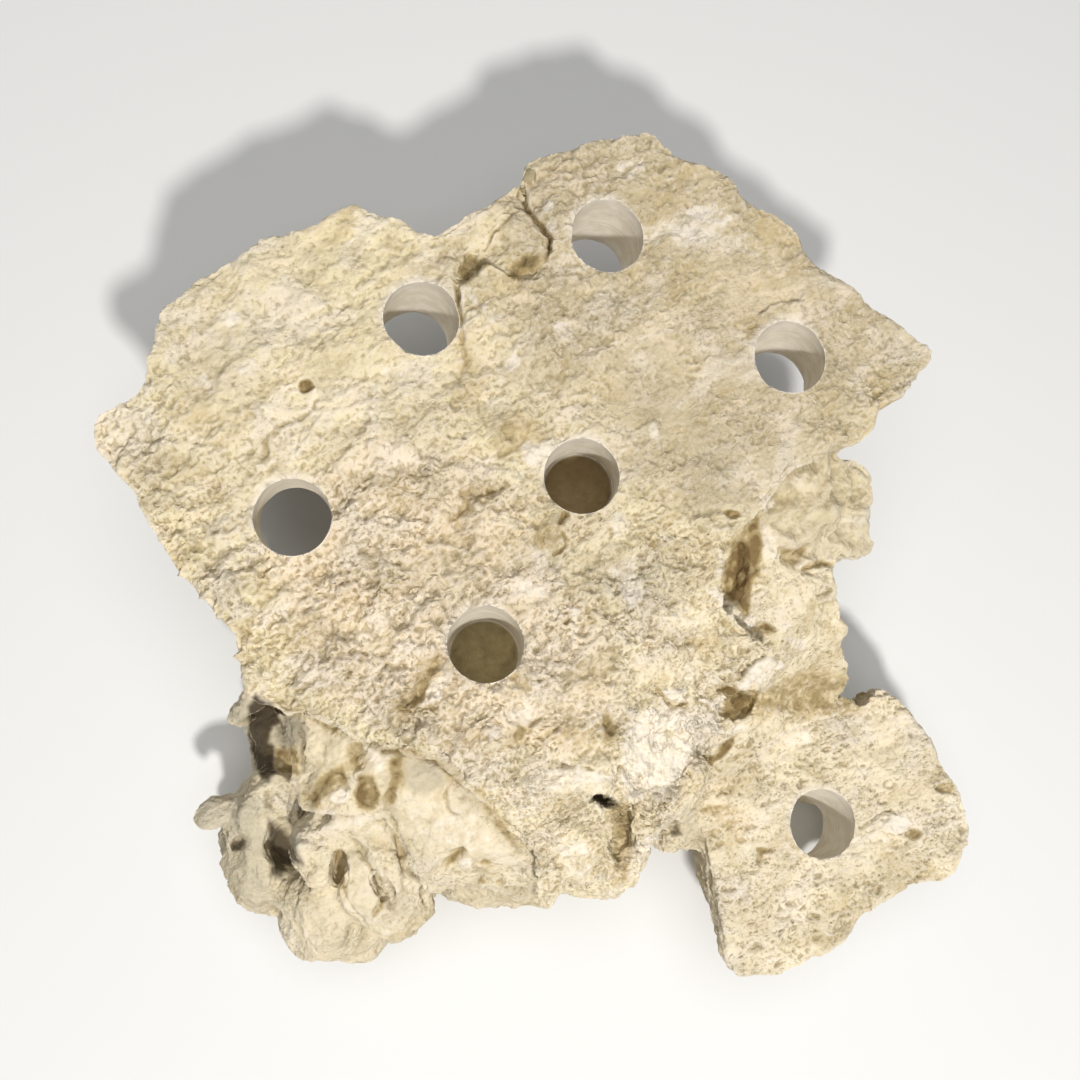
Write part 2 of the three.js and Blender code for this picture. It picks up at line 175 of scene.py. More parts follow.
def terraces(values, edge):
    """Turns smooth values into level steps; edge is the share of a step that its rise takes."""
    step = np.floor(values)
    return step + ramp(values - step, 0.5 - edge / 2, 0.5 + edge / 2)


# Soft flat shapes on the view plane
def to_route(spots, route):
    """For each spot its distance to a route, the signed side (left is over 0) and how far along."""
    route = np.array(route, float)
    lengths = np.linalg.norm(np.diff(route, axis=0), axis=1)
    whole = lengths.sum()
    best = np.full(len(spots), 1e9)
    side = np.zeros(len(spots))
    share = np.zeros(len(spots))
    before = 0.0
    for start, end, length in zip(route[:-1], route[1:], lengths):
        way = (end - start) / length
        rel = spots - start
        along = np.clip(rel @ way, 0, length)
        off = rel - along[:, None] * way
        far = np.hypot(off[:, 0], off[:, 1])
        closer = far < best
        best[closer] = far[closer]
        side[closer] = np.sign(way[0] * rel[:, 1] - way[1] * rel[:, 0])[closer]
        share[closer] = ((before + along) / whole)[closer]
        before += length
    return best, side, share


class Shape:
    """A rule that gives a share from 0 to 1 to spots, and the corners that it reaches to."""

    def __init__(self, places, margin, rule):
        places = np.array(places, float).reshape(-1, 2)
        self.low = places.min(axis=0) - margin
        self.high = places.max(axis=0) + margin
        self.rule = rule

    def at(self, spots):
        share = np.zeros(len(spots))
        near = np.flatnonzero(np.all((spots > self.low) & (spots < self.high), axis=1))
        if len(near):
            share[near] = self.rule(spots[near])
        return share


def line(half, *route):
    """Full along a route and fading away on both sides of it."""
    def rule(spots):
        far, _, along = to_route(spots, route)
        return np.exp(-((far / half) ** 2)) * ramp(along, -0.05, 0.1) * ramp(along, 1.05, 0.9)
    return Shape(route, 3 * half, rule)


def bank(reach, *route):
    """Full just left of a route, nothing right of it, and fading away to the left."""
    def rule(spots):
        far, side, along = to_route(spots, route)
        ends = ramp(along, 0.0, 0.15) * ramp(along, 1.0, 0.85)
        return (side > 0) * ends * np.exp(-far / reach) * ramp(far, 0.0, 0.5)
    return Shape(route, 4 * reach, rule)


def patch(soft, *outline):
    """Full inside an outline, with a soft border."""
    ring = list(outline) + [outline[0]]

    def rule(spots):
        inside = np.zeros(len(spots), bool)
        x, y = spots[:, 0], spots[:, 1]
        for (x0, y0), (x1, y1) in zip(ring[:-1], ring[1:]):
            crosses = (y0 > y) != (y1 > y)
            if y0 != y1:
                inside ^= crosses & (x < (x1 - x0) * (y - y0) / (y1 - y0) + x0)
        far, _, _ = to_route(spots, ring)
        return ramp(np.where(inside, far, -far), -soft, soft)
    return Shape(outline, soft, rule)


def oval(right, up, wide, high, turn=0.0, soft=0.35):
    """Full in the middle of an oval of two half sizes, falling to nothing around its edge."""
    angle = math.radians(turn)

    def rule(spots):
        rel = spots - np.array([right, up])
        across = rel[:, 0] * math.cos(angle) + rel[:, 1] * math.sin(angle)
        along = -rel[:, 0] * math.sin(angle) + rel[:, 1] * math.cos(angle)
        return ramp(np.hypot(across / wide, along / high), 1 + soft, 1 - soft)
    return Shape([(right, up)], (1 + soft) * max(wide, high), rule)


def highest(shapes, spots):
    """The highest share of several weighted shapes at each spot."""
    best = np.zeros(len(spots))
    for strength, shape in shapes:
        np.maximum(best, strength * shape.at(spots), out=best)
    return best


KINDS = {"line": line, "bank": bank, "patch": patch}

# Routes and outlines with a name, which later marks use again
ROUTES = {}


def pairs(text):
    """The pairs of numbers of a text such as "3,4 5.5,-6"."""
    return [tuple(float(part) for part in pair.split(",")) for pair in text.split()]


def marks(text):
    """Weighted shapes from a text with one on each line: strength, kind, width and points. A name
    before the points keeps them, and alone it stands for them. A shape without a kind is an oval:
    place, half sizes, turn and softness. A line that starts with a space goes on with the last."""
    found = []
    for row in text.strip().replace("\n ", " ").splitlines():
        if row.startswith("#"):
            continue
        strength, kind, *words = row.split()
        if kind in KINDS:
            width, *points = words
            if points[0].isidentifier():
                points = ROUTES.setdefault(points[0], points[1:])
            shape = KINDS[kind](float(width), *pairs(" ".join(points)))
        else:
            shape = oval(*[float(part) for word in [kind] + words for part in word.split(",")])
        found.append((float(strength), shape))
    return found


# Regions of the photograph
LOWER_ROCK = patch(1.2, *pairs("""
    -51,-25 -44,-29.5 -36,-32 -25,-36 -17.5,-37.5 -13.2,-41.4 -8.6,-44.2 -6.8,-47.6 -0.5,-55
    0.5,-66 -30,-76 -64,-62 -64,-36"""))
FAR_LUMP = patch(1.5, *pairs("""
    -62,-40 -50,-38 -47.5,-43 -46.5,-49 -45.5,-58 -43,-60 -40,-62 -28,-63 -26,-76 -64,-70"""))
TONGUE = patch(1.2, *pairs("""
    -8,-44.5 0,-39 14,-38.5 22,-42 24,-54 12,-68 -1,-68 -0.5,-55"""))
CRUST = patch(1.5, *pairs("""
    14,-4 24,4 34,2 30,-8 36,-14 37,-20 33,-26 27,-36 22,-50 14,-46 14.3,-27 13.8,-14"""))
RIGHT_LUMP = patch(0.8, *pairs("""
    40.6,9 43,12 49,16.5 60,15 60,-2.5 46,-3 38,-2 37,3"""))
RIGHT_FACE = patch(1.2, *pairs("""
    36,-4 46,-3.5 60,-4 60,-27 42,-30 38,-24 41,-18 35,-13"""))
BLOCK = patch(1.2, *pairs("""
    24,-44 28,-36 36,-30.5 52,-28 58,-23 76,-38 76,-60 40,-78 28,-76"""))
RIGHT_TIP = oval(60, 18, 10, 9, -30, 0.6)

# Smooth places
SMOOTH = [(0.5, RIGHT_LUMP)] + marks("""
1 patch 0.8 -50,-25 -45,-28 -42,-33 -41,-40 -46,-42 -50,-38
1 patch 0.8 -47,-46 -42,-48 -39.5,-53 -42,-58 -46,-58
0.7 patch 2 -38,-54 -33,-52 -26,-60 -28,-67 -40,-66
1 patch 1.5 -24,-40 -18,-41 -12,-45 -7.5,-51 -3,-56 -12,-54 -19,-53 -24,-49
0.9 patch 1 -38.5,-31.5 -33,-34 -32.5,-40 -38,-40
0.9 patch 0.8 -30,-35 -25.2,-36.5 -25,-40 -29.5,-40.5
0.8 patch 1.2 -17,-38 -14,-41 -20,-44 -25,-42 -25,-37
0.8 line 2 -37,-49.5 -33,-48 -28,-48 -24.5,-51
0.85 patch 1.5 15,-32 18,-28 24,-31 26,-36 21,-42 14,-43
0.8 patch 1.5 15.5,-19 20,-20.5 27,-21 27,-24.5 16,-25
0.7 24.5,-13.5 4.4,2.4
0.9 patch 0.6 33,-25 36.5,-20.5 38.5,-19.5 41,-20.5 36.5,-25.5
0.9 patch 0.8 37.3,1.6 37.2,-2.6 38.5,-4.2 42.4,0.2 39,2.6
0.8 patch 0.8 1,-38.6 9,-38.9 12,-39.6 11,-42.8 1.6,-43.6
0.7 6.5,-54 3.4,4.6
0.8 43.2,-33 3.4,2.2
0.8 60.6,-48.2 3,1.6 10
0.6 -7.5,2.5 3.4,2.4 10
0.6 -2,-8.5 3.2,2.6
0.5 -27,26 5,3 20
0.5 33,44 6,4 -30
0.6 -2.5,-29.5 3.4,1.8
1 patch 0.6 crevice 36.8,3.7 34.6,1.7 32.7,-0.8 31.6,-3.9 31,-8.4 33.4,-11.6 35.2,-12.6 35.6,-8.3
 37.2,-4.4 37.3,0
0.55 patch 7 -64,8 -62,44 -40,60 -22,62 -14,52 -18,26 -34,14 -50,-4
""")

# Relief that the photograph shows, whose strength is its height in millimetres
CARVED = marks("""
# The crack through the top, its side branch, and the crack by the north-west bore
-1.5 line 0.36 top_crack -3.1,60.8 -2.6,58.6 -1.8,56.2 -0.6,54.6 0.5,53.1 1.3,51.4 1.5,49.2
 0.9,47.6
-0.45 line 0.3 -4.2,55.8 -6,53.5 -7.5,52.3 -9.2,50.5 -9.7,49
-1 line 0.4 -14.1,43.4 -13.7,38.5 -13.2,34.5 -12.9,33
-0.4 line 0.45 -12.9,33 -12.3,30.4 -13.6,27.6 -12.2,25
0.8 bank 12 -3.1,60.5 -2.2,57.6 -1.4,55.3 0.5,53.1 1.5,50.5 1.2,47.8 0.2,46.4
0.9 bank 9 1.2,47.8 -0.8,44.2 -4.7,44.2 -8.5,46.4 -10.5,44 -14.1,42.7 -13.4,38.5 -13.1,35.3
 -12.5,29.3
0.5 bank 5 -4.4,55.6 -8,52.2 -9.2,50.2
# Creases and hollows of the shelf
-0.6 line 0.4 north_crease -1.3,20 -2.5,18 -3.6,16 -4.6,15.2 -7,13.6
-1.1 line 1 -6.6,8.1 -8.5,7.8 -11,8 -12.3,7.2 -12.2,5.8 -13.2,4.3 -15.1,2.5
0.7 bank 5 -6.4,9.2 -7.8,8.3 -12,7.1 -12.4,5.8 -15.1,2.5
-0.6 line 0.45 -5.6,3.9 -3.4,3.6 -2.4,3
-1.3 line 0.5 4.8,4.8 3.4,3.2 3,2.2
-0.8 line 0.35 middle_hook 3.2,1.5 4.2,0.2 4.4,-0.8 3.4,-2.2 2.2,-2.6
-1.7 line 1.25 -16,-19.2 -18.6,-21.4 -19.6,-23.5 -20.6,-26 -22.6,-28.2 -24.7,-29.6
1.1 bank 5 -24.7,-29.5 -21.5,-27.1 -19.3,-21.9 -16.3,-19
-0.7 line 0.4 -24.7,-29.6 -25.3,-31 -24.1,-32.9 -20.8,-35.8
-0.7 line 0.6 -37.4,24.4 -38.4,22.2 -41.2,20.4 -44.4,19.6 -46.4,17.8 -46.6,14.6 -45.6,12
-1 -39.7,26.3 1.2,1.1
-0.6 line 0.5 -35.6,-20.5 -33.1,-19 -29.5,-18.5
-0.9 line 0.7 -4.8,-22.8 -3.2,-24.2 -1.8,-25.6
-0.5 line 0.35 -9.6,-5 -8.8,-7.4 -8.4,-9 -7,-9.6
-0.5 line 0.4 -16,-5.6 -17.6,-6.4 -18.4,-8.4 -18.2,-10.2
-0.5 line 0.3 -24.6,9.4 -22,8 -20,7.2
-0.6 -3.2,-32.6 1,0.5 30 0.8
-0.8 11.5,-31.2 0.7,1.5 20 0.8
-0.8 line 0.5 4.4,-11.8 4.6,-13.2 3.9,-14.6
-0.5 line 0.3 7.7,-13.2 8.6,-13 9.4,-13.6 8.4,-14.2
0.9 bank 6 45.1,40.8 40.7,40.5 38.3,39.3 35.8,37.5
0.5 bank 3 20.6,20.4 18.6,20.2 16.8,19.4
# Star of cracks and the crust's creases
-0.5 line 0.25 10.8,-5.6 13,-6.8 15,-7.2
-0.5 line 0.25 13.6,-7 12.8,-9
-0.5 line 0.25 14.5,-7.2 14.2,-9.6 13.3,-10
-0.5 line 0.25 15,-6.8 17,-6.2
-0.5 line 0.25 15.2,-7.4 17,-8.6
-0.5 line 0.25 12.4,-7.9 10.2,-7.2
-0.6 line 0.35 14.6,-3.8 15.6,-2.4 16.8,-1.6
-0.5 line 0.35 17.2,-2.2 18.6,-3.4 21,-3.7 23,-4.6 25.4,-4.8
-0.5 line 0.5 18.4,-0.4 20,-1 21.4,-1.8
-0.5 line 0.35 13,-10.2 13.1,-12.6
-0.5 line 0.35 15.2,-12.2 16.4,-11.3 17.6,-11.2
-0.5 line 0.3 14.8,-19 15.3,-21 14.6,-23.4
-0.7 line 0.45 14.6,-28.8 13.8,-31.5 14,-34 13.5,-37.4
-0.6 line 0.5 26.1,4.2 29.7,5.1 31,4.6
-1.1 32.6,4.5 1.5,0.7 -10
# The crevice on the right with its flakes, and the broken ridge under it
0.5 patch 0.4 37.5,1.4 37.3,-2.6 38,-4.1 39.4,-3.8 40.3,-1.4 42.4,0.4 40.3,1.4 39,2.6
-1 patch 0.6 lump_hollow 40.4,-1.4 45.2,-1.5 44.6,-2.8 43.2,-4.4 41,-3.6
0.7 line 0.7 28.8,-8.1 30.2,-9.6 31.4,-10.8
0.6 line 0.8 32,-11.2 33.4,-12.8 34.4,-14.2
0.7 35.6,-14 0.8,1.4
-0.6 line 0.5 ridge_crease 30.6,-12.8 32.2,-14.8 34.6,-15.6 37,-15.2 39.9,-15.6
-1.3 patch 0.3 ridge_hollow 36.4,-14.9 37.2,-14.1 38.2,-13.8 39.2,-14.4 39.9,-15.3 38.4,-15.1
-1.1 line 0.5 lump_crack 44.3,-4.9 46.5,-4.2 48,-3.5 50.2,-4.3
-0.6 line 0.5 45,-5.4 47.4,-5.9 49.2,-6.6
-0.6 line 0.4 46.8,-9.3 48.4,-8.9 49.4,-7.8
# Wavy creases of the coral-like lump on the right
-0.5 line 0.9 48.6,14.6 45.4,12.8 42.4,11.6 41.2,9 41,7 40.6,5.5
-0.4 line 0.8 43.8,11.2 45.4,11 46.4,10.3
-0.7 line 1.1 46,12.3 47.6,12 48.8,11.2 51.4,11.1 53.4,12.2
-0.5 line 0.9 51.6,9.6 50.3,7.6 48.4,6.3 48.9,5.3
-0.5 line 0.9 45.2,5.8 44,4.4 42.9,3.4 43.1,2 42.6,0.6
-0.5 line 0.8 50.4,3.2 51,1.5 52.4,1.3 54,2.4
-0.5 line 0.8 52.3,7.4 53.6,6.8
-0.5 line 0.8 46.6,0.6 48.8,-0.6
# White overhanging flake, the seam hollow and the jagged bits left of it
1 patch 0.4 white_flake 32.8,-25 34.6,-22.4 36.5,-20.4 38.5,-19.7 41,-20.4 40.4,-22 38.4,-23.5
 36.6,-25.4 34.4,-25.8
-1.2 patch 0.4 29.3,-25.2 32,-24.7 34.8,-25.8 37,-25.6 36,-28.4 33,-31 30.8,-29.6 31.4,-27 31,-26.2
-1 patch 0.3 seam_gap 27.8,-36.4 29.8,-36.6 31.3,-34.2 33.6,-33.2 32.6,-35.4 31,-37 28.6,-38.2
0.6 patch 0.3 left_flake 20.6,-25.2 25,-25.2 24.4,-27.4 22,-27.2
0.6 patch 0.3 right_flake 26.8,-26.8 31,-26.6 30.6,-28.4 27.4,-28.6
-0.7 line 0.35 flake_crease 20.4,-25 21.2,-26.8 22.4,-28.3 24.8,-27.6
-0.6 line 0.35 22.6,-29 24.4,-29.3 26.4,-28.6
-0.6 line 0.3 27.2,-27.2 28.4,-28.2 29,-29.4
-0.5 line 0.3 14.8,-30.4 17,-31 18.2,-30.6
# The tongue: crack, plate, groove and arcs
0.4 patch 0.4 1,-38.6 5,-39 9,-39 12,-39.6 11.6,-42.2 9,-42.8 5,-43.8 1.6,-43.4
-0.6 line 0.3 3.5,-37.7 5,-38.7 9,-38.7
-0.9 patch 0.3 tongue_slot 8.4,-43.2 10,-42.9 12,-43.7 13.6,-45.3 12,-45.7 10,-44.9
-0.6 patch 1.5 11.6,-45.8 15.4,-45.6 16,-50 14.6,-58 12,-58 12.4,-52
-0.5 line 0.35 1.6,-50.4 4,-50.2 8,-49.3
0.5 6.5,-54 3,4.2
-0.6 line 0.4 -0.4,-55 -2.4,-52 -4,-49.3
# The lower rock: fold under the shelf's rim, grooves, ledges and hollows
-1 line 0.55 -46.9,-27.1 -43.2,-28.5 -39.8,-29.8 -35.6,-31.9 -32.2,-33.4 -28.5,-34.6 -25.3,-35.8
 -21.2,-36.3 -17.5,-37.3 -15.3,-39.3 -12.5,-41.7 -10.5,-42.7
-0.5 line 0.3 -25,-33 -22,-34 -20.8,-36
-0.9 line 0.5 -9,-44.7 -7.8,-46 -6.5,-48.5 -5.5,-50
-1.2 line 0.4 foot_crack -40.8,-32.6 -40.1,-34.2 -40.4,-36 -40.2,-38.6
-0.8 line 0.35 -43.2,-31 -43.8,-33 -43.4,-35
-0.7 line 1.4 -34.6,-39.8 -36.6,-41.6 -38.8,-44.6
0.7 -34,-43.4 1.9,1.4
0.5 -27.6,-45.4 1.3,1.8
-0.7 line 1.1 -24.4,-36.4 -24.2,-40.2 -25.4,-44.6
-0.7 line 1.3 -31.4,-34.6 -31.2,-39.2
-0.6 line 0.3 -15.5,-41.5 -16,-44 -15.3,-46.5 -13.8,-46.8
-1.1 line 0.45 -25.5,-47 -24.5,-50 -23.8,-52 -23,-55 -20.5,-58 -19.3,-62
-1 line 0.7 -16.2,-55.2 -14.6,-53.6 -12.8,-52.4
0.4 -12.4,-54.8 1.4,0.9
-0.6 -9.3,-54.5 0.8,0.6
-0.6 -11,-56 0.7,0.5
-0.7 -9.8,-57.8 0.9,0.6
-0.6 -6.7,-58 0.8,0.6
-0.6 -14,-56.2 0.9,0.5
0.6 line 1 -37,-49.2 -33,-47.8 -28.4,-47.6 -25.6,-50.4
0.6 line 0.7 -31,-50.5 -28.5,-52.5 -26,-57 -25.5,-60 -28,-64
-0.9 line 0.5 -32.2,-50.6 -30.4,-53 -28.2,-56.6 -27.6,-60
-1.2 line 0.6 -28.5,-64.2 -27.2,-62 -26.3,-60.2
-0.7 line 0.4 -33.6,-59.8 -32.6,-62 -31.4,-63.6 -29.4,-65.2
-1.4 -51.5,-51.5 1.2,0.9 20
-1 line 0.8 -46.8,-42 -45.6,-44.6 -43.6,-47
0.8 -40,-52.5 1.4,1.6
# The block: chip with its pit, scratch, dents
0.6 patch 0.3 57.6,-49.2 58.6,-47.6 60.2,-46.6 62.2,-47 63.3,-48.3 62.4,-49.6 60.4,-49.9
-1.2 63.5,-49.9 1.4,0.8 20
-0.5 line 0.3 54,-49.4 55.4,-48 57.4,-46.8 60.2,-46.1
-0.8 patch 0.3 block_scratch 36.8,-52.1 39.8,-52.4 39.4,-53 38,-53.2 37.7,-55 37.2,-54.6 37.2,-53
-0.5 30.6,-51.2 0.9,0.5
-0.5 34.2,-51 0.8,0.5
-0.7 59.6,-41.4 1.1,0.8
-0.8 68.8,-41.9 1.5,1 20
-0.6 63.4,-32.8 0.9,0.6
-0.5 line 0.6 27,-46 28.6,-45.4 32,-45.5
# The broken face inside the south bore
1.2 bank 4 -5.6,-22.8 -9.4,-17.8
""")

# Colours that the photograph shows in places
WHITE_MARKS = marks("""
0.75 26.6,53.6 5,3.4 20
0.5 20,52.4 3,2 30
0.5 15.6,63 2.6,1.6 20
0.6 1,57.2 1.2,1.6 20
0.4 3,53.8 2.6,2
0.7 3.8,36.2 1.7,1.2 -20
0.6 -4.4,29.9 1.4,1.5
0.5 -8,37.8 1.7,1.4
0.35 -11,40.2 3,2
0.7 19.5,18.3 1,1.5
0.7 -52.9,37.6 1.8,1.5
0.5 -49.2,29.2 2.4,1.6 20
0.5 -56.8,26.6 2,1.6
0.35 -24,28 3,2
0.9 patch 1 -3,12.6 -2.8,16.4 0,17 3,17.6 1,14.6 -0.4,12.4
0.6 patch 1.2 -1.6,-1.4 0.4,-1.2 1.8,-4 1.4,-7 -0.6,-6.6 -2.8,-7 -2.2,-4
0.5 -2,-8.6 3,2.4
0.8 5.4,-12.2 1.3,1.6
0.6 13.4,2.6 1.7,1.7
0.7 15.6,-8 1.8,3.6 10
0.6 13.8,-4.6 3,1.6 20
0.9 patch 0.8 -15.8,-20.6 -15.2,-23.4 -17,-27 -20.6,-28.6 -19.4,-25.6 -17.6,-22.6
0.6 -8.4,-32.4 2.2,1.2
0.5 -2.4,-29.4 3,1.4
0.4 24.5,-13.4 4.2,2.2
0.6 38.8,-0.6 1.9,3 25
0.7 38.4,6.6 1.3,1.4
0.5 line 0.6 30.4,-1 30.6,-4 30.2,-7
0.9 line 0.8 28.8,-8.1 30.2,-9.6 31.4,-10.8
0.6 line 0.8 32,-11.2 33.4,-12.8 34.4,-14.2
1 35.6,-13.8 0.9,1.5
0.5 42.2,-10 1.6,1
0.6 41.4,-14.6 1.2,0.9
0.5 43.6,-17.4 1.5,1.2
0.75 patch 0.5 white_flake
0.8 patch 0.5 left_flake
0.9 patch 0.3 right_flake
0.7 patch 1.5 15,-29 20,-27.4 31,-28.6 31,-33 27,-36 21,-44 14,-44 14,-32
0.6 patch 1.6 14.4,-32 20,-30 25,-33 26,-36.4 21,-39.6 14,-40.6
0.7 line 0.6 29.6,-32.8 32.4,-32.8 35,-31.4
0.8 39.6,-28.6 2.6,0.9 -15
0.5 43.2,-33 3.4,2
0.5 62,-31.6 3.4,2 -30
0.9 60.6,-48.2 2.9,1.5 8
0.4 57.6,-50.6 2,1.4
0.5 34,-59.6 2.6,1.6
0.4 43,-52.8 2.6,1.6
0.55 patch 1.4 0,-38.6 5,-37.6 9,-39 12.6,-37.6 11.6,-42.2 7,-42.4 4,-44.8 1.6,-42.4
0.5 6.5,-54 2.8,4.2 15
0.5 18.6,-52 2.6,2
0.35 patch 1.5 -24,-42 -12,-45 -5,-54 -12,-54 -22,-50
0.9 -12.5,-54.9 1.5,0.9
0.6 patch 1.2 -30.6,-34.6 -25.2,-36.5 -26,-40.4 -28.5,-39.5
0.5 line 1.2 -37,-49.4 -33,-48 -28.4,-47.8 -25.2,-50.6
0.8 -34,-43.4 1.9,1.3
0.4 line 0.7 -31,-50.5 -28.5,-52.5 -26,-57 -25.5,-60
0.4 line 0.8 -46.4,-44 -40,-46 -34,-46.4
""")
# Brown stains, and painted shadow on the marks noted below
# Painted shade along the fold under the shelf's rim
# Painted shadow bands in the S-shaped groove and the groove south-west of the south bore
# Painted shadow under the pillar
BROWN_STAIN_AND_SHADE_MARKS = marks("""
0.4 line 0.9 -25.3,-35.8 -21.2,-36.3 -17.5,-37.3 -15.3,-39.3 -12.5,-41.7 -10.5,-42.7 -8,-46
 -6.5,-48.5 -2.4,-54
0.28 -4.5,19 4.5,5 50 0.8
0.28 -12,30 2.4,6 12 0.8
0.25 0.5,3.2 4.4,5 0 0.8
0.22 -44,9 5,3.4 30 0.8
0.22 -20,45 8,3 25 0.8
0.2 -54,20 5,4 30 0.8
0.22 -12,-33 4,3 30 0.8
0.22 5,-33.6 5,2.6 -20 0.8
0.25 2.5,-45 3.6,2.4 30 0.8
0.25 18,14.5 5,3 10 0.8
0.2 36,37 3,3 30 0.8
0.22 48,41 4,2.4 -40 0.8
0.2 34,-41 5,3 10 0.8
0.2 31,-48 4,4 10 0.8
0.2 27,-19 4,3 10 0.8
0.75 line 0.5 top_crack
0.4 line 0.35 -4.2,55.8 -6,53.5 -7.5,52.3 -9.2,50.5
0.9 -2.2,46.6 2.8,1.4 28 0.8
0.7 -4.4,44.9 1.5,0.9 0 0.8
0.8 patch 0.9 -13.4,48 -9.4,48.2 -8.5,46.5 -10.8,45 -11.5,43 -14.6,43.2
0.7 line 0.6 -14.4,43.6 -13.9,40 -13.5,37
0.4 line 0.9 -13.2,34.5 -12.4,30.4 -13.4,27.6
0.9 -39.7,26.3 1.2,1.1
0.45 -5,17.6 3.2,2.6 30 0.6
0.35 line 0.7 north_crease
0.8 line 0.6 4.8,4.8 3.4,3.2 3,2.2
0.6 line 0.45 middle_hook
0.45 1.2,1.6 2.6,3.4 0 0.5
0.5 line 1.9 -7.5,7.9 -11,8 -12.3,7 -12.4,5.6 -15,2.6
0.58 line 2 -16.4,-19.6 -19,-22.4 -20.8,-26 -24.7,-29.6
0.35 line 0.9 -4.8,-22.8 -3.2,-24.2 -1.8,-25.6
0.6 -3.2,-32.6 2.4,1.4 20 0.8
0.9 11.6,-31.4 1.1,2.2 20 0.8
0.4 11.6,-33 1.6,1.8
0.5 line 0.7 4.4,-11.8 4.6,-13.2 3.9,-14.6
0.3 8.6,-13.7 1.2,0.8 0 0.8
0.35 20,-1 2,1 -20 0.8
0.45 36.6,36 2.6,1.6 30
0.7 32.6,4.5 1.5,0.8 -10
1.1 patch 0.8 crevice
0.6 patch 0.5 lump_hollow
0.6 line 0.5 lump_crack
0.4 line 0.5 ridge_crease
0.9 patch 0.3 ridge_hollow
0.35 27,-17.8 1.6,1.6
0.95 patch 0.4 29.3,-25 32,-24.7 34.8,-25.8 37.4,-25.6 36,-28.4 33,-31 30.8,-29.6 31.4,-27 31,-26.2
0.5 patch 1.5 37,-26 41,-23.4 46,-21.4 53,-23 57,-26 54,-29.4 46,-29.6 36,-29.8
0.85 patch 0.4 seam_gap
0.6 line 0.4 flake_crease
0.5 line 0.35 27.2,-27.2 28.4,-28.2 29,-29.4
0.5 line 0.5 27,-46 28.6,-45.4 32,-45.5
0.3 30.6,-51.2 1.1,0.5 10 0.8
0.3 34.2,-51 1,0.5 10 0.8
0.55 patch 0.4 block_scratch
0.6 63.5,-49.9 1.4,0.8 20
0.5 68.8,-41.9 1.5,1 20
0.6 patch 1.2 11.6,-45.2 14.6,-44.6 16,-47 15.8,-50.5 13,-51 12,-48
0.45 patch 0.8 12.6,-50 16,-50 15,-58 12,-58
0.95 -29.4,-43 2.1,3.1 5
0.85 line 1.7 -32.6,-39.6 -34.6,-39.9 -36.6,-41.6 -38.8,-44.6
0.8 line 1.4 -24.4,-36.4 -24.2,-40.2 -25.4,-44.6
0.7 line 1.5 -31.4,-34.4 -31.2,-39.2
0.8 patch 0.8 -44.8,-35.3 -41,-35.3 -40.8,-39.6 -44.4,-39.6
0.6 line 0.8 -34.3,-52 -34,-56 -33.6,-59.5
0.6 line 0.5 -28.5,-64.2 -27.2,-62 -26.3,-60.2
0.6 line 0.7 -16.2,-55.2 -14.6,-53.6 -12.8,-52.4
0.4 -9.3,-54.5 0.8,0.6
0.5 -9.8,-57.8 0.9,0.6
0.4 -6.7,-58 0.8,0.6
0.4 line 0.5 -25.5,-47 -24.5,-50 -23.8,-52 -23,-55
""")
# Painted shade: dark in the recesses, cracks, pockets and holes where shade falls
DARK_SHADE_MARKS = marks("""
0.3 -42.4,-32.8 3,2.8
0.5 line 0.3 top_crack
0.4 -1.6,47.2 1.3,0.7 28 0.8
0.3 -11,46.6 1.6,0.9 20 0.8
1 patch 0.5 -48.2,-26.2 -45,-28.6 -43.7,-31.3 -45.8,-32 -46,-34.5 -44.8,-35 -44.8,-39.3 -46,-41
 -47.2,-40.7 -48.8,-37.5 -49.4,-33 -49.4,-28
0.95 patch 0.8 -46,-47 -43.5,-49 -42,-50 -41.2,-52.5 -40.5,-54.8 -43,-55.2 -43.5,-57.8 -45.3,-57
 -45.8,-53
0.8 -51.5,-51.5 1.1,0.8 20
0.9 patch 0.3 tongue_slot
0.6 line 0.4 foot_crack
0.7 patch 0.3 23,-47.4 24.4,-50 22.6,-50.2
""")
# Grey tones of the rock, and painted shade on the marks noted below
# Painted shade on the block's left face
# Painted shade on the slope under the rim fold
# Painted shade on the small knob
# Painted shadow band on the lump under the shelf's edge
GREY_AND_SHADE_MARKS = [(0.3, LOWER_ROCK), (0.4, RIGHT_LUMP)] + marks("""
0.5 11,-6 5.5,3.4 -20 0.8
0.35 -18,-7 5,4 30 0.8
0.35 20,-8 6,5 20 0.8
0.35 -2,-3 5,3 0 0.8
0.35 -54,31 5,9 -30 0.8
0.3 20,22 5,8 0 0.8
0.3 30,10 6,10 20 0.8
1 -50.8,-29 2.6,3
0.8 patch 1.2 -62,-40 -50,-38 -47.5,-43 -46.5,-49 -45.5,-58 -43,-62 -58,-66
1 -42.4,-32.8 3,2.8
1 patch 1.2 -25,-37 -17,-38 -15.4,-41 -19,-43.6 -24.6,-42
0.5 line 1 -20,-60.6 -10,-60.8 0,-58.6
0.5 line 1.2 24.4,-44 26,-51 28.4,-59 30.4,-67
0.5 line 0.8 27,4.4 29,4.8 31,5
0.5 line 0.8 46,12.4 49,11.2 53.4,12.2
0.4 1.8,-3.6 3,1.4 -20
""")
COARSE_ZONES = [(0.8, RIGHT_TIP)] + marks("""
1 patch 7 -30,2 -8,14 12,14 26,6 40,-6 62,-22 78,-38 78,-62 28,-78 -6,-70 -8,-46 -30,-34 -48,-24
 -40,-10
""")
CRACKED_ZONES = [(0.2, CRUST), (0.3, TONGUE)] + marks("""
0.45 patch 1.5 15,-26 21,-24.5 32,-26 34,-32 30,-37 23,-46 13.6,-46 13.6,-34
""")
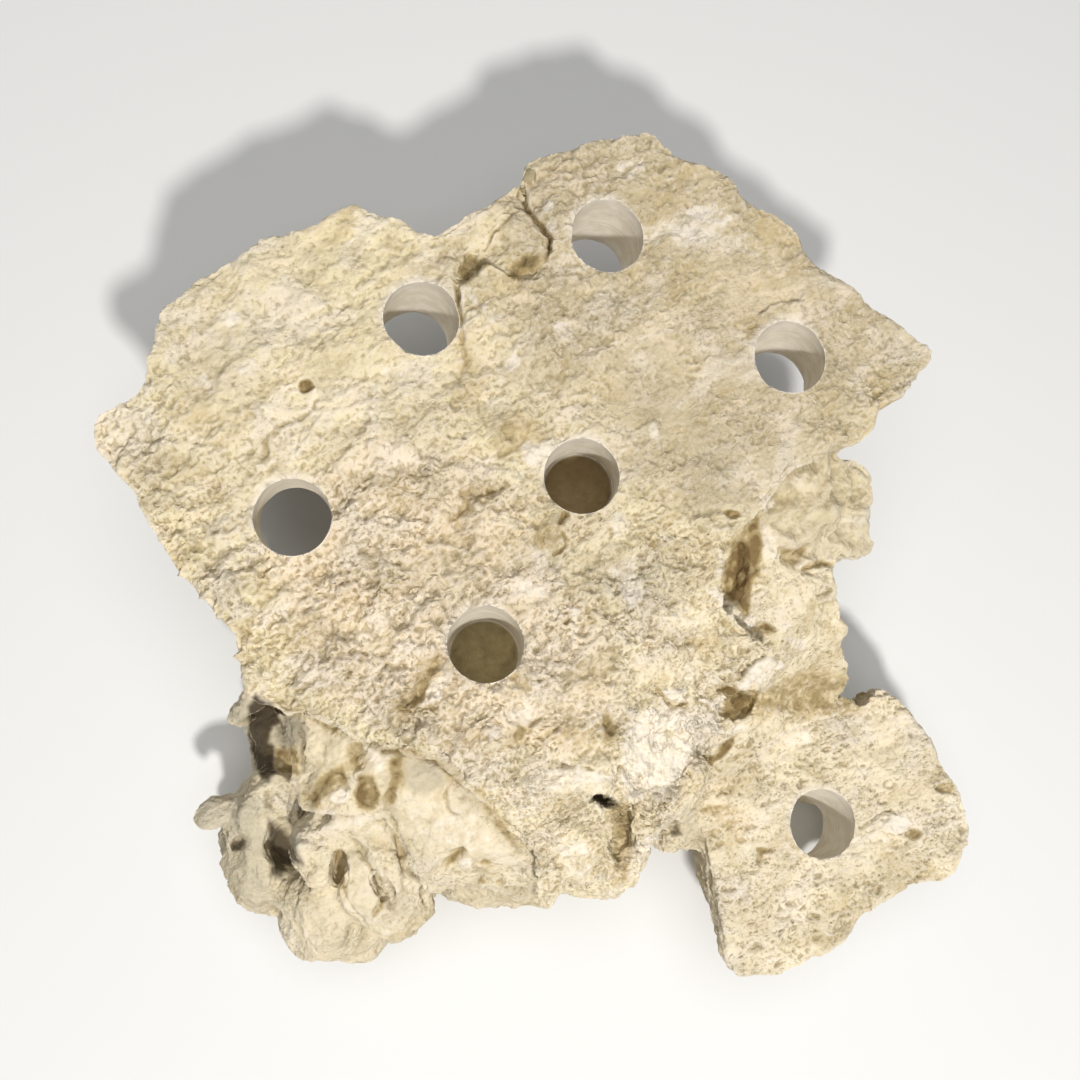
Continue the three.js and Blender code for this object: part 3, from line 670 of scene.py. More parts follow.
# Broad tones: tan at the top and on the right tip, pale on the block and the right face, pink in
# the middle
TAN_ZONES = marks("""
0.9 patch 7 -4,70 -6,47 -8,36 4,26 14,18 24,4 34,6 50,14 70,30 40,64
0.5 18,12 9,6 0 0.6
0.3 -18,50 8,5 30 0.6
""")
PALE_ZONES = [(1.0, BLOCK), (1.0, RIGHT_FACE), (0.6, CRUST), (0.8, LOWER_ROCK), (0.6, TONGUE)]
PINK_ZONES = marks("""
0.8 patch 8 -30,20 -10,16 0,0 14,-12 12,-36 -10,-38 -40,-26 -50,-4
0.6 patch 2 15,-14 28,-12 28,-25 15,-25
""")


def read(items, name, width, kind=np.float32):
    """A property of a mesh's items as an array, one row for each."""
    values = np.empty(len(items) * width, kind)
    items.foreach_get(name, values)
    return values.reshape(-1, width)


def data_of(mesh):
    """A mesh's points in millimetres, its point normals and its edges."""
    points = read(mesh.vertices, "co", 3).astype(float) / MM
    return points, read(mesh.vertex_normals, "vector", 3), read(mesh.edges, "vertices", 2, np.int32)


def put_points(mesh, points):
    mesh.vertices.foreach_set("co", (points * MM).astype(np.float32).ravel())
    mesh.update()


def neighbour_sum(values, edges):
    """The sum of the values of each point's neighbours."""
    first, second = edges[:, 0], edges[:, 1]
    count = len(values)
    return np.bincount(first, values[second], count) + np.bincount(second, values[first], count)


def neighbour_mean(values, edges, weights):
    """Each point's weighted mean over its neighbours, or its own value where none has weight."""
    share = neighbour_sum(weights, edges)
    mean = np.empty_like(values)
    for axis in range(values.shape[1]):
        total = neighbour_sum(values[:, axis] * weights, edges)
        mean[:, axis] = np.where(share > TINY, total / np.maximum(share, TINY), values[:, axis])
    return mean


def add_object(name, data):
    """A new object in the scene that holds a mesh, a lamp or a camera."""
    item = bpy.data.objects.new(name, data)
    bpy.context.scene.collection.objects.link(item)
    return item


def with_modifier(piece, kind, **settings):
    """Applies one modifier to a piece's mesh."""
    modifier = piece.modifiers.new(kind.lower(), kind)
    for name, value in settings.items():
        setattr(modifier, name, value)
    depsgraph = bpy.context.evaluated_depsgraph_get()
    made = bpy.data.meshes.new_from_object(piece.evaluated_get(depsgraph))
    piece.modifiers.clear()
    old = piece.data
    piece.data = made
    bpy.data.meshes.remove(old)


# Small lumps that close the gaps between the lower rock's round bulbs and the wide end of the
# crack in the rim: place and half sizes
LUMPS = [
    (seen(-31.0, -47.9, 33.5), (6.6, 3.0, 6.2)),
    (seen(-25.6, -50.0, 31.5), (2.8, 3.4, 5.5)),
    (seen(-1.8, 56.4, 49.0), (2.6, 3.4, 8.4)),
]


def add_lumps(piece):
    form = bmesh.new()
    form.from_mesh(piece.data)
    for place, sizes in LUMPS:
        ball = bmesh.ops.create_icosphere(form, subdivisions=3, radius=1.0)["verts"]
        for vertex in ball:
            vertex.co = [(place[axis] + sizes[axis] * vertex.co[axis]) * MM for axis in range(3)]
    form.to_mesh(piece.data)
    form.free()


# The form: a fine mesh of the CAD solid, its facets rubbed away. The voxels of the first and of
# the second remesh, in millimetres
COARSE = 0.8
FINE = 0.29

# The cracks of the CAD solid, which are filled here and carved again, thinner
CRACK_ROUTES = [
    pairs("-3,60.5 -1.4,55.3 1.5,50.5 1.2,47.8 -0.8,46.3"),
    pairs("-13.7,43.4 -13.4,38.5 -13,34.5 -12.5,29.3"),
    pairs("-16.3,-19 -19.3,-21.9 -21.5,-27.1 -25,-30 -24,-33"),
]
CRACK_REACH = 1.6
CRACK_FLOOR = 8.0
MOUTH_MARGIN = 0.7
MOUTH_DEPTH = 6.5

# Where a bore keeps the form around it: between which two distances from its axis this fades
# away, how far down it sets in, and how far past the wall's lower end it goes
KEPT_RADII = (9.5, 7.6)
KEPT_FROM = (0.5, 2.5)
KEPT_PAST = (16.0, 12.0)

# How often and how far the facets' smoothing moves the points
FILL_STEPS = 24
TOP_STEPS = 34
TOP_PACE = 0.8
SIDE_STEPS = 24
SIDE_PACES = (0.55, -0.57)


def spread(values, edges, steps, fade):
    """Lets high values reach out over the mesh, weaker by fade at each step."""
    for _ in range(steps):
        grown = values.copy()
        np.maximum.at(grown, edges[:, 0], fade * values[edges[:, 1]])
        np.maximum.at(grown, edges[:, 1], fade * values[edges[:, 0]])
        values = grown
    return values


def fill_in(values, gap, source, edges, steps):
    """Carries the values of the source points into a gap, one ring of points at a time."""
    values = values.copy()
    known = np.where(gap, 0.0, source)
    for _ in range(steps):
        share = neighbour_sum(known, edges)
        total = neighbour_sum(known * values, edges)
        ready = gap & (known == 0) & (share > 0.5)
        values[ready] = total[ready] / share[ready]
        known[ready] = 1.0
    return values, known


def in_gaps(points):
    """The points of the cracks and the bores' mouths, whose surface is carried over from around."""
    spots = on_view_plane(points)
    gap = np.zeros(len(points), bool)
    for route in CRACK_ROUTES:
        far, _, _ = to_route(spots, route)
        gap |= (far < CRACK_REACH) & (points[:, 2] > SHELF_TOP - CRACK_FLOOR)
    for bore in BORES:
        far, down, _ = to_bore_axis(points, bore)
        gap |= (far < PLUG_RADIUS + MOUTH_MARGIN) & (np.abs(down) < MOUTH_DEPTH)
    return gap


def near_bores(points):
    """1 around the bores' walls, where the form stays as it is, and 0 away from them."""
    near = np.zeros(len(points))
    for bore in BORES:
        far, down, length = to_bore_axis(points, bore)
        along = ramp(down, *KEPT_FROM) * ramp(down, *(length + past for past in KEPT_PAST))
        near = np.maximum(near, ramp(far, *KEPT_RADII) * along)
    return near


def rub_facets(piece):
    """Smooths the wide facets. Faces that the photograph shows only move along the sight line."""
    points, normals, edges = data_of(piece.data)
    top = ramp(facing_of(points, normals), 0.6, 0.8)
    gap = in_gaps(points)
    first_depths = (points - VIEW_EYE) @ AHEAD
    depths, known = fill_in(first_depths, gap, top, edges, FILL_STEPS)
    held = np.where(gap, known, top)
    for _ in range(TOP_STEPS):
        mean = neighbour_mean(depths[:, None], edges, held)[:, 0]
        depths += TOP_PACE * held * (mean - depths)
    points += (first_depths - depths)[:, None] * toward_eye(points)
    everywhere = np.ones(len(points))
    side = ((1 - held) * (1 - near_bores(points)))[:, None]
    for step in range(SIDE_STEPS):
        pace = SIDE_PACES[step % 2]
        points += pace * side * (neighbour_mean(points, edges, everywhere) - points)
    put_points(piece.data, points)


def carve_broad(piece):
    """Broad lumps on the foot and the lower rock, and ledges on the broken edges."""
    points, normals, edges = data_of(piece.data)
    facing = facing_of(points, normals)
    spots = on_view_plane(points)
    guard = spread(ramp(facing, 0.4, 0.7), edges, 7, 0.84)
    hidden = ramp(facing, 0.1, -0.3) * (1 - guard) * (1 - near_bores(points))
    lower = LOWER_ROCK.at(spots) * ramp(facing, 0.0, 0.3) * (1 - 0.7 * highest(SMOOTH, spots))
    ledges = billow(points * [1, 1, 2.6], 17.0, 3, seed=5) - 0.45
    push = hidden * (2.4 * ledges - 0.9)
    push += lower * 0.9 * layers(points, 7.0, 3, seed=11)
    points += push[:, None] * normals
    put_points(piece.data, points)


def ragged_spots(points):
    """The view-plane places of points, shaken so that flat shapes get ragged borders."""
    shake = np.zeros((len(points), 2))
    for axis in range(2):
        shake[:, axis] = 0.28 * layers(points, 2.4, 3, 21 + 4 * axis, 0.6)
        shake[:, axis] += 0.4 * layers(points, 6.0, 2, 121 + 4 * axis)
    return on_view_plane(points) + shake


def shown_relief(points):
    """The relief of the faces that the photograph shows, in millimetres along their normals: for
    each region, its share times the heights of the kinds of relief on it."""
    warp = np.stack([layers(points, 2.4, 3, 21, 0.6), layers(points, 2.4, 3, 25, 0.6)], axis=1)
    spots = on_view_plane(points) + 0.5 * warp
    near = points + 0.5 * np.stack([warp[:, 0], warp[:, 1], warp[:, 0]], axis=1)

    lower, far_lump = LOWER_ROCK.at(spots), FAR_LUMP.at(spots)
    tongue, crust = TONGUE.at(spots), CRUST.at(spots)
    lump, face, block = RIGHT_LUMP.at(spots), RIGHT_FACE.at(spots), BLOCK.at(spots)
    shelf = 1 - np.maximum.reduce([lower, tongue, crust, lump, face, block])
    left = ramp(spots[:, 0] - 0.35 * spots[:, 1], 14.0, -14.0)
    low = ramp(spots[:, 1] + 0.2 * spots[:, 0], 25.0, -10.0)
    low = np.maximum(low, 0.7 * RIGHT_TIP.at(spots))

    calm = 1 - 0.8 * highest(SMOOTH, spots)
    patchy = 0.3 + 0.7 * ramp(layers(points, 8.0, 2, 111), -0.35, 0.3)
    uneven = ramp(layers(points, 11.0, 2, 115), -0.25, 0.35)
    gritty = calm * patchy
    swell = layers(points, 15.0, 2, seed=31)
    waves = layers(streaked(near, 35, 1.5), 5.5, 4, seed=35, fade=0.58)
    scarps = terraces(2.2 * layers(streaked(near, 30, 1.9), 7.5, 4, seed=41, fade=0.55), 0.2)
    knobs = billow(streaked(near, 30, 1.4), 2.9, 4, seed=61, fade=0.72) - 0.45
    steps = terraces(2.6 * layers(streaked(near, 22, 1.5), 3.4, 4, seed=45, fade=0.68), 0.3)
    dents = crumbs(near + 0.35 * layers(points, 0.9, 2, 141)[:, None], 1.7, 0.3, 3)
    fine = layers(near, 0.9, 2, seed=51, fade=0.8)
    grain = layers(streaked(near, 30, 1.5), 1.7, 3, seed=65, fade=0.8)

    push = shelf * 0.5 * swell
    push += shelf * (0.55 + 0.5 * left + 0.9 * low) * (0.4 + 0.6 * calm) * waves
    push += shelf * (0.05 + 0.3 * left) * uneven * (0.3 + 0.7 * calm) * scarps
    push += shelf * 0.2 * gritty * grain
    push += shelf * (0.15 + 0.2 * left + 1.2 * low) * gritty * knobs
    push += shelf * 0.2 * low * gritty * steps
    push -= shelf * (0.1 + 0.7 * low + 0.1 * left) * gritty * dents
    push += 0.2 * (0.3 + 0.7 * gritty) * fine

    rough = lower * (1 - far_lump)
    push += lower * 0.45 * waves + rough * calm * patchy * 0.8 * knobs
    push += rough * calm * 0.6 * (billow(near, 5.0, 3, seed=71, fade=0.5) - 0.4)
    push += lump * (1.8 * layers(near, 4.0, 2, seed=75, fade=0.35) + 0.2 * knobs)
    push += face * (0.5 * waves + 0.6 * gritty * knobs)
    broken = crust + tongue
    push += broken * calm * (1.25 * knobs + 0.25 * steps - 0.6 * dents)
    push += broken * (0.7 * waves + 0.4 * scarps * calm)
    pits = crumbs(streaked(near, 14, 2.0), 1.4, 0.4, 7)
    rows = billow(streaked(near, 14, 2.2), 2.2, 4, seed=81, fade=0.72) - 0.45
    push += block * (0.3 * swell + 0.5 * waves)
    push += block * gritty * (1.1 * rows - 0.9 * pits + 0.15 * grain)

    ragged = ragged_spots(points)
    uneven = np.clip(1 + 0.7 * noise(points, 2.6, 131), 0.35, 1.6)
    for height, shape in CARVED:
        push += height * uneven * shape.at(ragged)
    return push


def side_relief(points, guard):
    """The relief of the faces that the photograph doesn't show."""
    warp = np.stack([layers(points, 5.0, 3, 151 + 5 * axis) for axis in range(3)], axis=1)
    near = points + 0.9 * warp
    rough = billow(near * [1, 1, 1.5], 5.2, 4, seed=91, fade=0.66)
    beds = terraces(1.8 * layers(near * [0.5, 0.5, 1.6], 8.0, 3, seed=95), 0.3)
    holes = crumbs(near, 7.5, 0.4, 9) + 0.5 * crumbs(near, 3.4, 0.35, 11)
    return (1 - 0.65 * guard) * (1.3 * (rough - 0.5) + 0.5 * beds - 2.4 * holes)


# How far the outline is brought out again after the smoothing, and the height of the flat foot
RIM_GAIN = 0.4
FOOT = 0.25


def carve_fine(piece):
    points, normals, edges = data_of(piece.data)
    everywhere = np.ones(len(points))
    for _ in range(2):
        normals = neighbour_mean(normals.astype(float), edges, everywhere)
    normals /= np.linalg.norm(normals, axis=1, keepdims=True)
    facing = facing_of(points, normals)
    guard = spread(ramp(facing, 0.3, 0.6), edges, 10, 0.89)
    shown = ramp(facing, 0.2, 0.5)
    push = np.zeros(len(points))
    front = np.flatnonzero(shown > 0)
    push[front] = shown[front] * shown_relief(points[front])
    back = np.flatnonzero(shown < 1)
    hidden = (1 - shown[back]) * (1 - near_bores(points[back]))
    push[back] += hidden * side_relief(points[back], guard[back])
    push += RIM_GAIN * guard * ramp(facing, 0.55, 0.15) * (1 - near_bores(points))
    base = points[:, 2] < FOOT
    points += push[:, None] * normals
    points[base, 2] = 0.0
    points[:, 2] = np.maximum(points[:, 2], 0.0)
    put_points(piece.data, points)


# The bores: first plugged, then cut with true round walls
BORE_SIDES = 96
BORE_STEP = 0.9
BORE_OVER = 7.0
END_RINGS = 14
END_RELIEF = 0.8
PLUG_RADIUS = 7.2
PLUG_INSIDE = 0.4
PLUG_ROOM = 3.0
POCKET_ROOM = -4.0
POCKET_RADIUS = 9.0


def sleeve(first, second):
    """The faces between two rings of points, from the numbers of their first points."""
    faces = []
    for side in range(BORE_SIDES):
        after = (side + 1) % BORE_SIDES
        faces.append([first + side, first + after, second + after, second + side])
    return faces


def ring(middle, radius, across, along):
    """A round ring of points, one after another."""
    for side in range(BORE_SIDES):
        angle = 2 * math.pi * side / BORE_SIDES
        yield middle + radius * (math.cos(angle) * across + math.sin(angle) * along)


def cylinders(name, ends, level=False):
    """One mesh of cylinders, from their ends and radii, with rough or with level lower ends."""
    points = []
    faces = []
    for start, finish, radius in ends:
        way = (finish - start) / np.linalg.norm(finish - start)
        across = np.cross(way, [0.0, 1.0, 0.0])
        across /= np.linalg.norm(across)
        along = np.cross(way, across)
        if level:
            across, along = np.array([0.0, 1.0, 0.0]), np.array([1.0, 0.0, 0.0])
        first = len(points)
        steps = math.ceil(np.linalg.norm(finish - start) / BORE_STEP)
        for middle in np.linspace(start, finish, steps + 1):
            points += ring(middle, radius, across, along)
        for inward in range(1, 0 if level else END_RINGS):
            for spot in ring(finish, radius * (1 - inward / END_RINGS), across, along):
                lift = END_RELIEF * layers(spot[None], 7.0, 4, 141, 0.6)[0]
                points.append(spot + lift * ramp(inward, 0, 2) * way)
        last = len(points) - BORE_SIDES
        faces.append(list(range(first, first + BORE_SIDES))[::-1])
        for number in range(first, last, BORE_SIDES):
            faces += sleeve(number, number + BORE_SIDES)
        faces.append(list(range(last, len(points))))
    mesh = bpy.data.meshes.new(name)
    mesh.from_pydata([tuple(spot * MM) for spot in points], [], faces)
    mesh.update()
    return add_object(name, mesh)


def bore_line(bore):
    """The places of a bore's mouth and of its wall's lower end, and the way between them."""
    start = seen(*bore.mouth, bore.top)
    finish = seen(*bore.end, bore.under)
    return start, finish, (finish - start) / np.linalg.norm(finish - start)


def to_bore_axis(points, bore):
    """Each point's distance to a bore's axis and how far down it is, and the wall's length."""
    start, finish, way = bore_line(bore)
    rel = points - start
    off = rel - (rel @ way)[:, None] * way
    return np.linalg.norm(off, axis=1), rel @ way, np.linalg.norm(finish - start)


def plug_bores(piece):
    """Fills the bores' walls, so that the surface around them can be worked as one."""
    ends = []
    for bore in BORES:
        start, finish, way = bore_line(bore)
        room, radius = POCKET_ROOM, POCKET_RADIUS
        if bore.through:
            room, radius = PLUG_ROOM, PLUG_RADIUS
        ends.append((start + PLUG_INSIDE * way, finish - room * way, radius))
    plugs = cylinders("bore_plugs", ends, level=True)
    form = bmesh.new()
    form.from_mesh(piece.data)
    form.from_mesh(plugs.data)
    form.to_mesh(piece.data)
    form.free()
    bpy.data.objects.remove(plugs)


def cut_bores(piece):
    ends = []
    for bore in BORES:
        start, finish, way = bore_line(bore)
        past = BORE_OVER if bore.through else 0.0
        if bore.under == BLOCK_UNDER:
            past += BLOCK_UNDER
        ends.append((start - BORE_OVER * way, finish + past * way, BORE_RADIUS))
    cutter = cylinders("bore_cutter", ends)
    with_modifier(piece, "BOOLEAN", operation="DIFFERENCE", solver="MANIFOLD", object=cutter)
    bpy.data.objects.remove(cutter)


# Where the photograph doesn't look, and how many triangles that part keeps
HIDDEN_FACING = 0.05
HIDDEN_TRIANGLES = 60000


def thin_out(piece):
    """Thins the mesh where the photograph doesn't look."""
    with_modifier(piece, "TRIANGULATE")
    points, normals, _ = data_of(piece.data)
    hidden = facing_of(points, normals) < HIDDEN_FACING
    group = piece.vertex_groups.new(name="hidden")
    group.add(np.flatnonzero(hidden).tolist(), 1.0, "REPLACE")
    kept = 1 - hidden.mean() + HIDDEN_TRIANGLES / len(piece.data.polygons)
    with_modifier(piece, "DECIMATE", ratio=kept, vertex_group="hidden", vertex_group_factor=1.0)
    piece.vertex_groups.clear()


def add_mask(mesh, name, values):
    attribute = mesh.attributes.new(name, "FLOAT", "POINT")
    attribute.data.foreach_set("value", values)


# The hollows that the material reads, for painted shade in hollows and creases and a painted
# highlight on crests: after how many steps of smoothing, the mask's name, and the height in
# millimetres that counts as full
HOLLOWS = {2: ("crease", 0.12), 30: ("hollow", 0.45)}
# How close to a bore's radius its wall is, and what lies just past the wall's ends
WALL_BAND = 0.05
WALL_ABOVE = 6.0
WALL_BELOW = 0.6
# How strongly the upper and the lower pocket are darkened, the upper one's floor with painted
# shade, and the band of depths above and below the wall's end in which a pocket's floor lies
POCKET_SHADES = (1.0, 0.6)
FLOOR_ABOVE = 4.0
FLOOR_BELOW = 6.0
# How far past a bore's edge its whitened rim ends and begins to fade: dust, and a painted
# highlight on the edge that faces the light
RIM_REACH = (1.8, 0.2)


def paint(mesh):
    """The masks that the material reads, one number for each point of the mesh."""
    points, normals, edges = data_of(mesh)
    everywhere = np.ones(len(points))
    masks = {}
    mean = points.copy()
    for step in range(1, max(HOLLOWS) + 1):
        mean = neighbour_mean(mean, edges, everywhere)
        if step in HOLLOWS:
            name, full = HOLLOWS[step]
            height = np.einsum("ij,ij->i", mean - points, normals)
            masks[name] = np.clip(height / full, -1, 1)
    facing = facing_of(points, normals)
    shown = ramp(facing, -0.1, 0.4)
    spots = ragged_spots(points)
    loose = 4 * spots - 3 * on_view_plane(points)
    uneven = np.clip(0.85 + 0.5 * layers(points, 1.8, 2, 135), 0.2, 1.2)
    front = np.flatnonzero(shown > 0)
    for name, shapes, where in (
            ("white", WHITE_MARKS, spots), ("brown_stain_and_shade", BROWN_STAIN_AND_SHADE_MARKS, spots),
            ("dark_shade", DARK_SHADE_MARKS, spots), ("grey_and_shade", GREY_AND_SHADE_MARKS, spots),
            ("tan", TAN_ZONES, loose), ("pale", PALE_ZONES, loose), ("pink", PINK_ZONES, loose),
            ("coarse", COARSE_ZONES, loose), ("cracked", CRACKED_ZONES, spots),
            ("calm", SMOOTH, spots)):
        masks[name] = np.zeros(len(points))
        masks[name][front] = shown[front] * highest(shapes, where[front])
    masks["brown_stain_and_shade"] *= uneven
    wall, deep, rim, depth = np.zeros((4, len(points)))
    for bore in BORES:
        far, down, length = to_bore_axis(points, bore)
        at_wall = np.abs(far - BORE_RADIUS) < WALL_BAND
        at_wall &= (down > -WALL_ABOVE) & (down < length + WALL_BELOW)
        wall = np.maximum(wall, at_wall)
        depth = np.where(at_wall, down, depth)
        # Each bore's rim is whitened on one side only: dust, and a painted highlight on the edge
        # that faces the light
        aside = spots - np.array(bore.mouth)
        aside = (aside[:, 1] - 0.7 * aside[:, 0]) / (np.linalg.norm(aside, axis=1) + TINY)
        near = ramp(far, *(BORE_RADIUS + past for past in RIM_REACH))
        near *= np.abs(down) < WALL_ABOVE
        near *= ramp(aside, 0.0, 1.0)
        rim = np.maximum(rim, near)
        if not bore.through:
            floor = far < BORE_RADIUS - WALL_BAND
            floor &= (down > length - FLOOR_ABOVE) & (down < length + FLOOR_BELOW)
            deep = np.maximum(deep, POCKET_SHADES[bore.mouth[1] < 0] * floor)
    masks["wall"] = wall
    masks["deep"] = deep * (1 - wall)
    masks["rim"] = rim * shown
    masks["depth"] = depth
    return {name: values.astype(np.float32) for name, values in masks.items()}


# How many pieces the side that the photograph shows is split into
STRIPS = 4


def share_out(whole):
    """Splits the finished mesh into pieces under the limit, with the whole mesh's normals."""
    mesh = whole.data
    masks = paint(mesh)
    corners = read(mesh.loops, "vertex_index", 1, np.int32).reshape(-1, 3)
    shading = read(mesh.corner_normals, "vector", 3).reshape(-1, 3, 3)
    points, normals, _ = data_of(mesh)
    hidden = (facing_of(points, normals) < HIDDEN_FACING)[corners].all(axis=1)
    across = points[corners, 0].mean(axis=1)
    limits = np.quantile(across[~hidden], np.linspace(0, 1, STRIPS + 1)[1:-1])
    strip = np.searchsorted(limits, across)
    chosen = {"rock_under": hidden}
    for index in range(STRIPS):
        chosen["rock_top_%d" % (index + 1)] = ~hidden & (strip == index)
    pieces = []
    for name, faces in chosen.items():
        used, again = np.unique(corners[faces], return_inverse=True)
        part = bpy.data.meshes.new(name)
        part.from_pydata((points[used] * MM).tolist(), [], again.reshape(-1, 3).tolist())
        part.shade_smooth()
        part.normals_split_custom_set(shading[faces].reshape(-1, 3).tolist())
        for mask, values in masks.items():
            add_mask(part, mask, values[used])
        pieces.append(add_object(name, part))
    bpy.data.objects.remove(whole)
    return pieces


# Material
def linear(red, green, blue):
    """A colour seen on screen, 0 to 255, as the linear colour that a shader takes."""
    def part(value):
        value /= 255
        return value / 12.92 if value <= 0.04045 else ((value + 0.055) / 1.055) ** 2.4
    return (part(red), part(green), part(blue), 1.0)


class Nodes:
    """Short calls that add nodes to one material."""

    def __init__(self, name):
        self.material = bpy.data.materials.new(name)
        self.material.use_nodes = True
        self.tree = self.material.node_tree
        self.tree.nodes.clear()

    def add(self, kind, inputs=(), **settings):
        node = self.tree.nodes.new(kind)
        for name, value in settings.items():
            setattr(node, name, value)
        for name, value in dict(inputs).items():
            self.feed(node.inputs[name], value)
        return node

    def feed(self, socket, value):
        if isinstance(value, bpy.types.NodeSocket):
            self.tree.links.new(value, socket)
        else:
            socket.default_value = value

    def finished(self, colour, roughness, settings):
        """The material, once its surface has a colour and a roughness."""
        settings = {"Base Color": colour, "Roughness": roughness, **settings}
        shader = self.add("ShaderNodeBsdfPrincipled", settings)
        self.add("ShaderNodeOutputMaterial", {"Surface": shader.outputs["BSDF"]})
        return self.material

    def mask(self, name):
        return self.add("ShaderNodeAttribute", attribute_name=name).outputs["Fac"]

    def noise(self, where, size, detail=3.0, rough=0.55, twist=0.0):
        """Noise from 0 to 1 with waves of size millimetres."""
        settings = {"Vector": where, "Scale": 1 / (size * MM), "Detail": detail,
                    "Roughness": rough, "Distortion": twist}
        return self.add("ShaderNodeTexNoise", settings).outputs["Fac"]

    def rings(self, value, size):
        """Noise from 0 to 1 along one value alone."""
        settings = {"W": value, "Scale": 1 / size, "Detail": 3.0, "Roughness": 0.6}
        return self.add("ShaderNodeTexNoise", settings, noise_dimensions="1D").outputs["Fac"]

    def ramp(self, value, low, high, last=1.0, first=0.0):
        """A smooth change from first at low to last at high."""
        settings = {"Value": value, "From Min": low, "From Max": high, "To Min": first,
                    "To Max": last}
        node = self.add("ShaderNodeMapRange", settings, interpolation_type="SMOOTHSTEP")
        return node.outputs["Result"]

    def math(self, kind, first, second=0.0):
        node = self.add("ShaderNodeMath", operation=kind)
        self.feed(node.inputs[0], first)
        self.feed(node.inputs[1], second)
        return node.outputs["Value"]

    def times(self, first, second):
        return self.math("MULTIPLY", first, second)

    def plus(self, first, second):
        return self.math("ADD", first, second)

    def minus(self, first, second):
        return self.math("SUBTRACT", first, second)

    def coats(self, colour, *coats):
        """A colour with others laid over it in turn, each by its share."""
        for share, coat in coats:
            node = self.add("ShaderNodeMix", data_type="RGBA")
            for number, value in ((0, share), (6, colour), (7, coat)):
                self.feed(node.inputs[number], value)
            colour = node.outputs[2]
        return colour

    def bump(self, height, distance, before=None):
        settings = {"Height": height, "Distance": distance * MM}
        if before is not None:
            settings["Normal"] = before
        return self.add("ShaderNodeBump", settings).outputs["Normal"]


CREAM = linear(223, 209, 176)
YELLOW = linear(226, 212, 175)
PINK = linear(229, 211, 184)
TAN = linear(190, 174, 142)
PALE = linear(231, 218, 188)
WHITE = linear(232, 222, 206)
GREY = linear(180, 171, 148)
PAINTED_SHADE_OLIVE = linear(152, 137, 102)
SHADE = linear(122, 106, 70)
OCHRE = linear(188, 166, 120)
OLIVE_BROWN = linear(146, 127, 84)
BROWN = linear(120, 99, 64)
DARK_SHADE = linear(62, 50, 32)
DEEP_LIGHT = linear(166, 152, 112)
DEEP_POCKET_SHADE = linear(142, 124, 90)
WALL_GREY = linear(226, 217, 200)
WALL_DUST = linear(238, 231, 217)


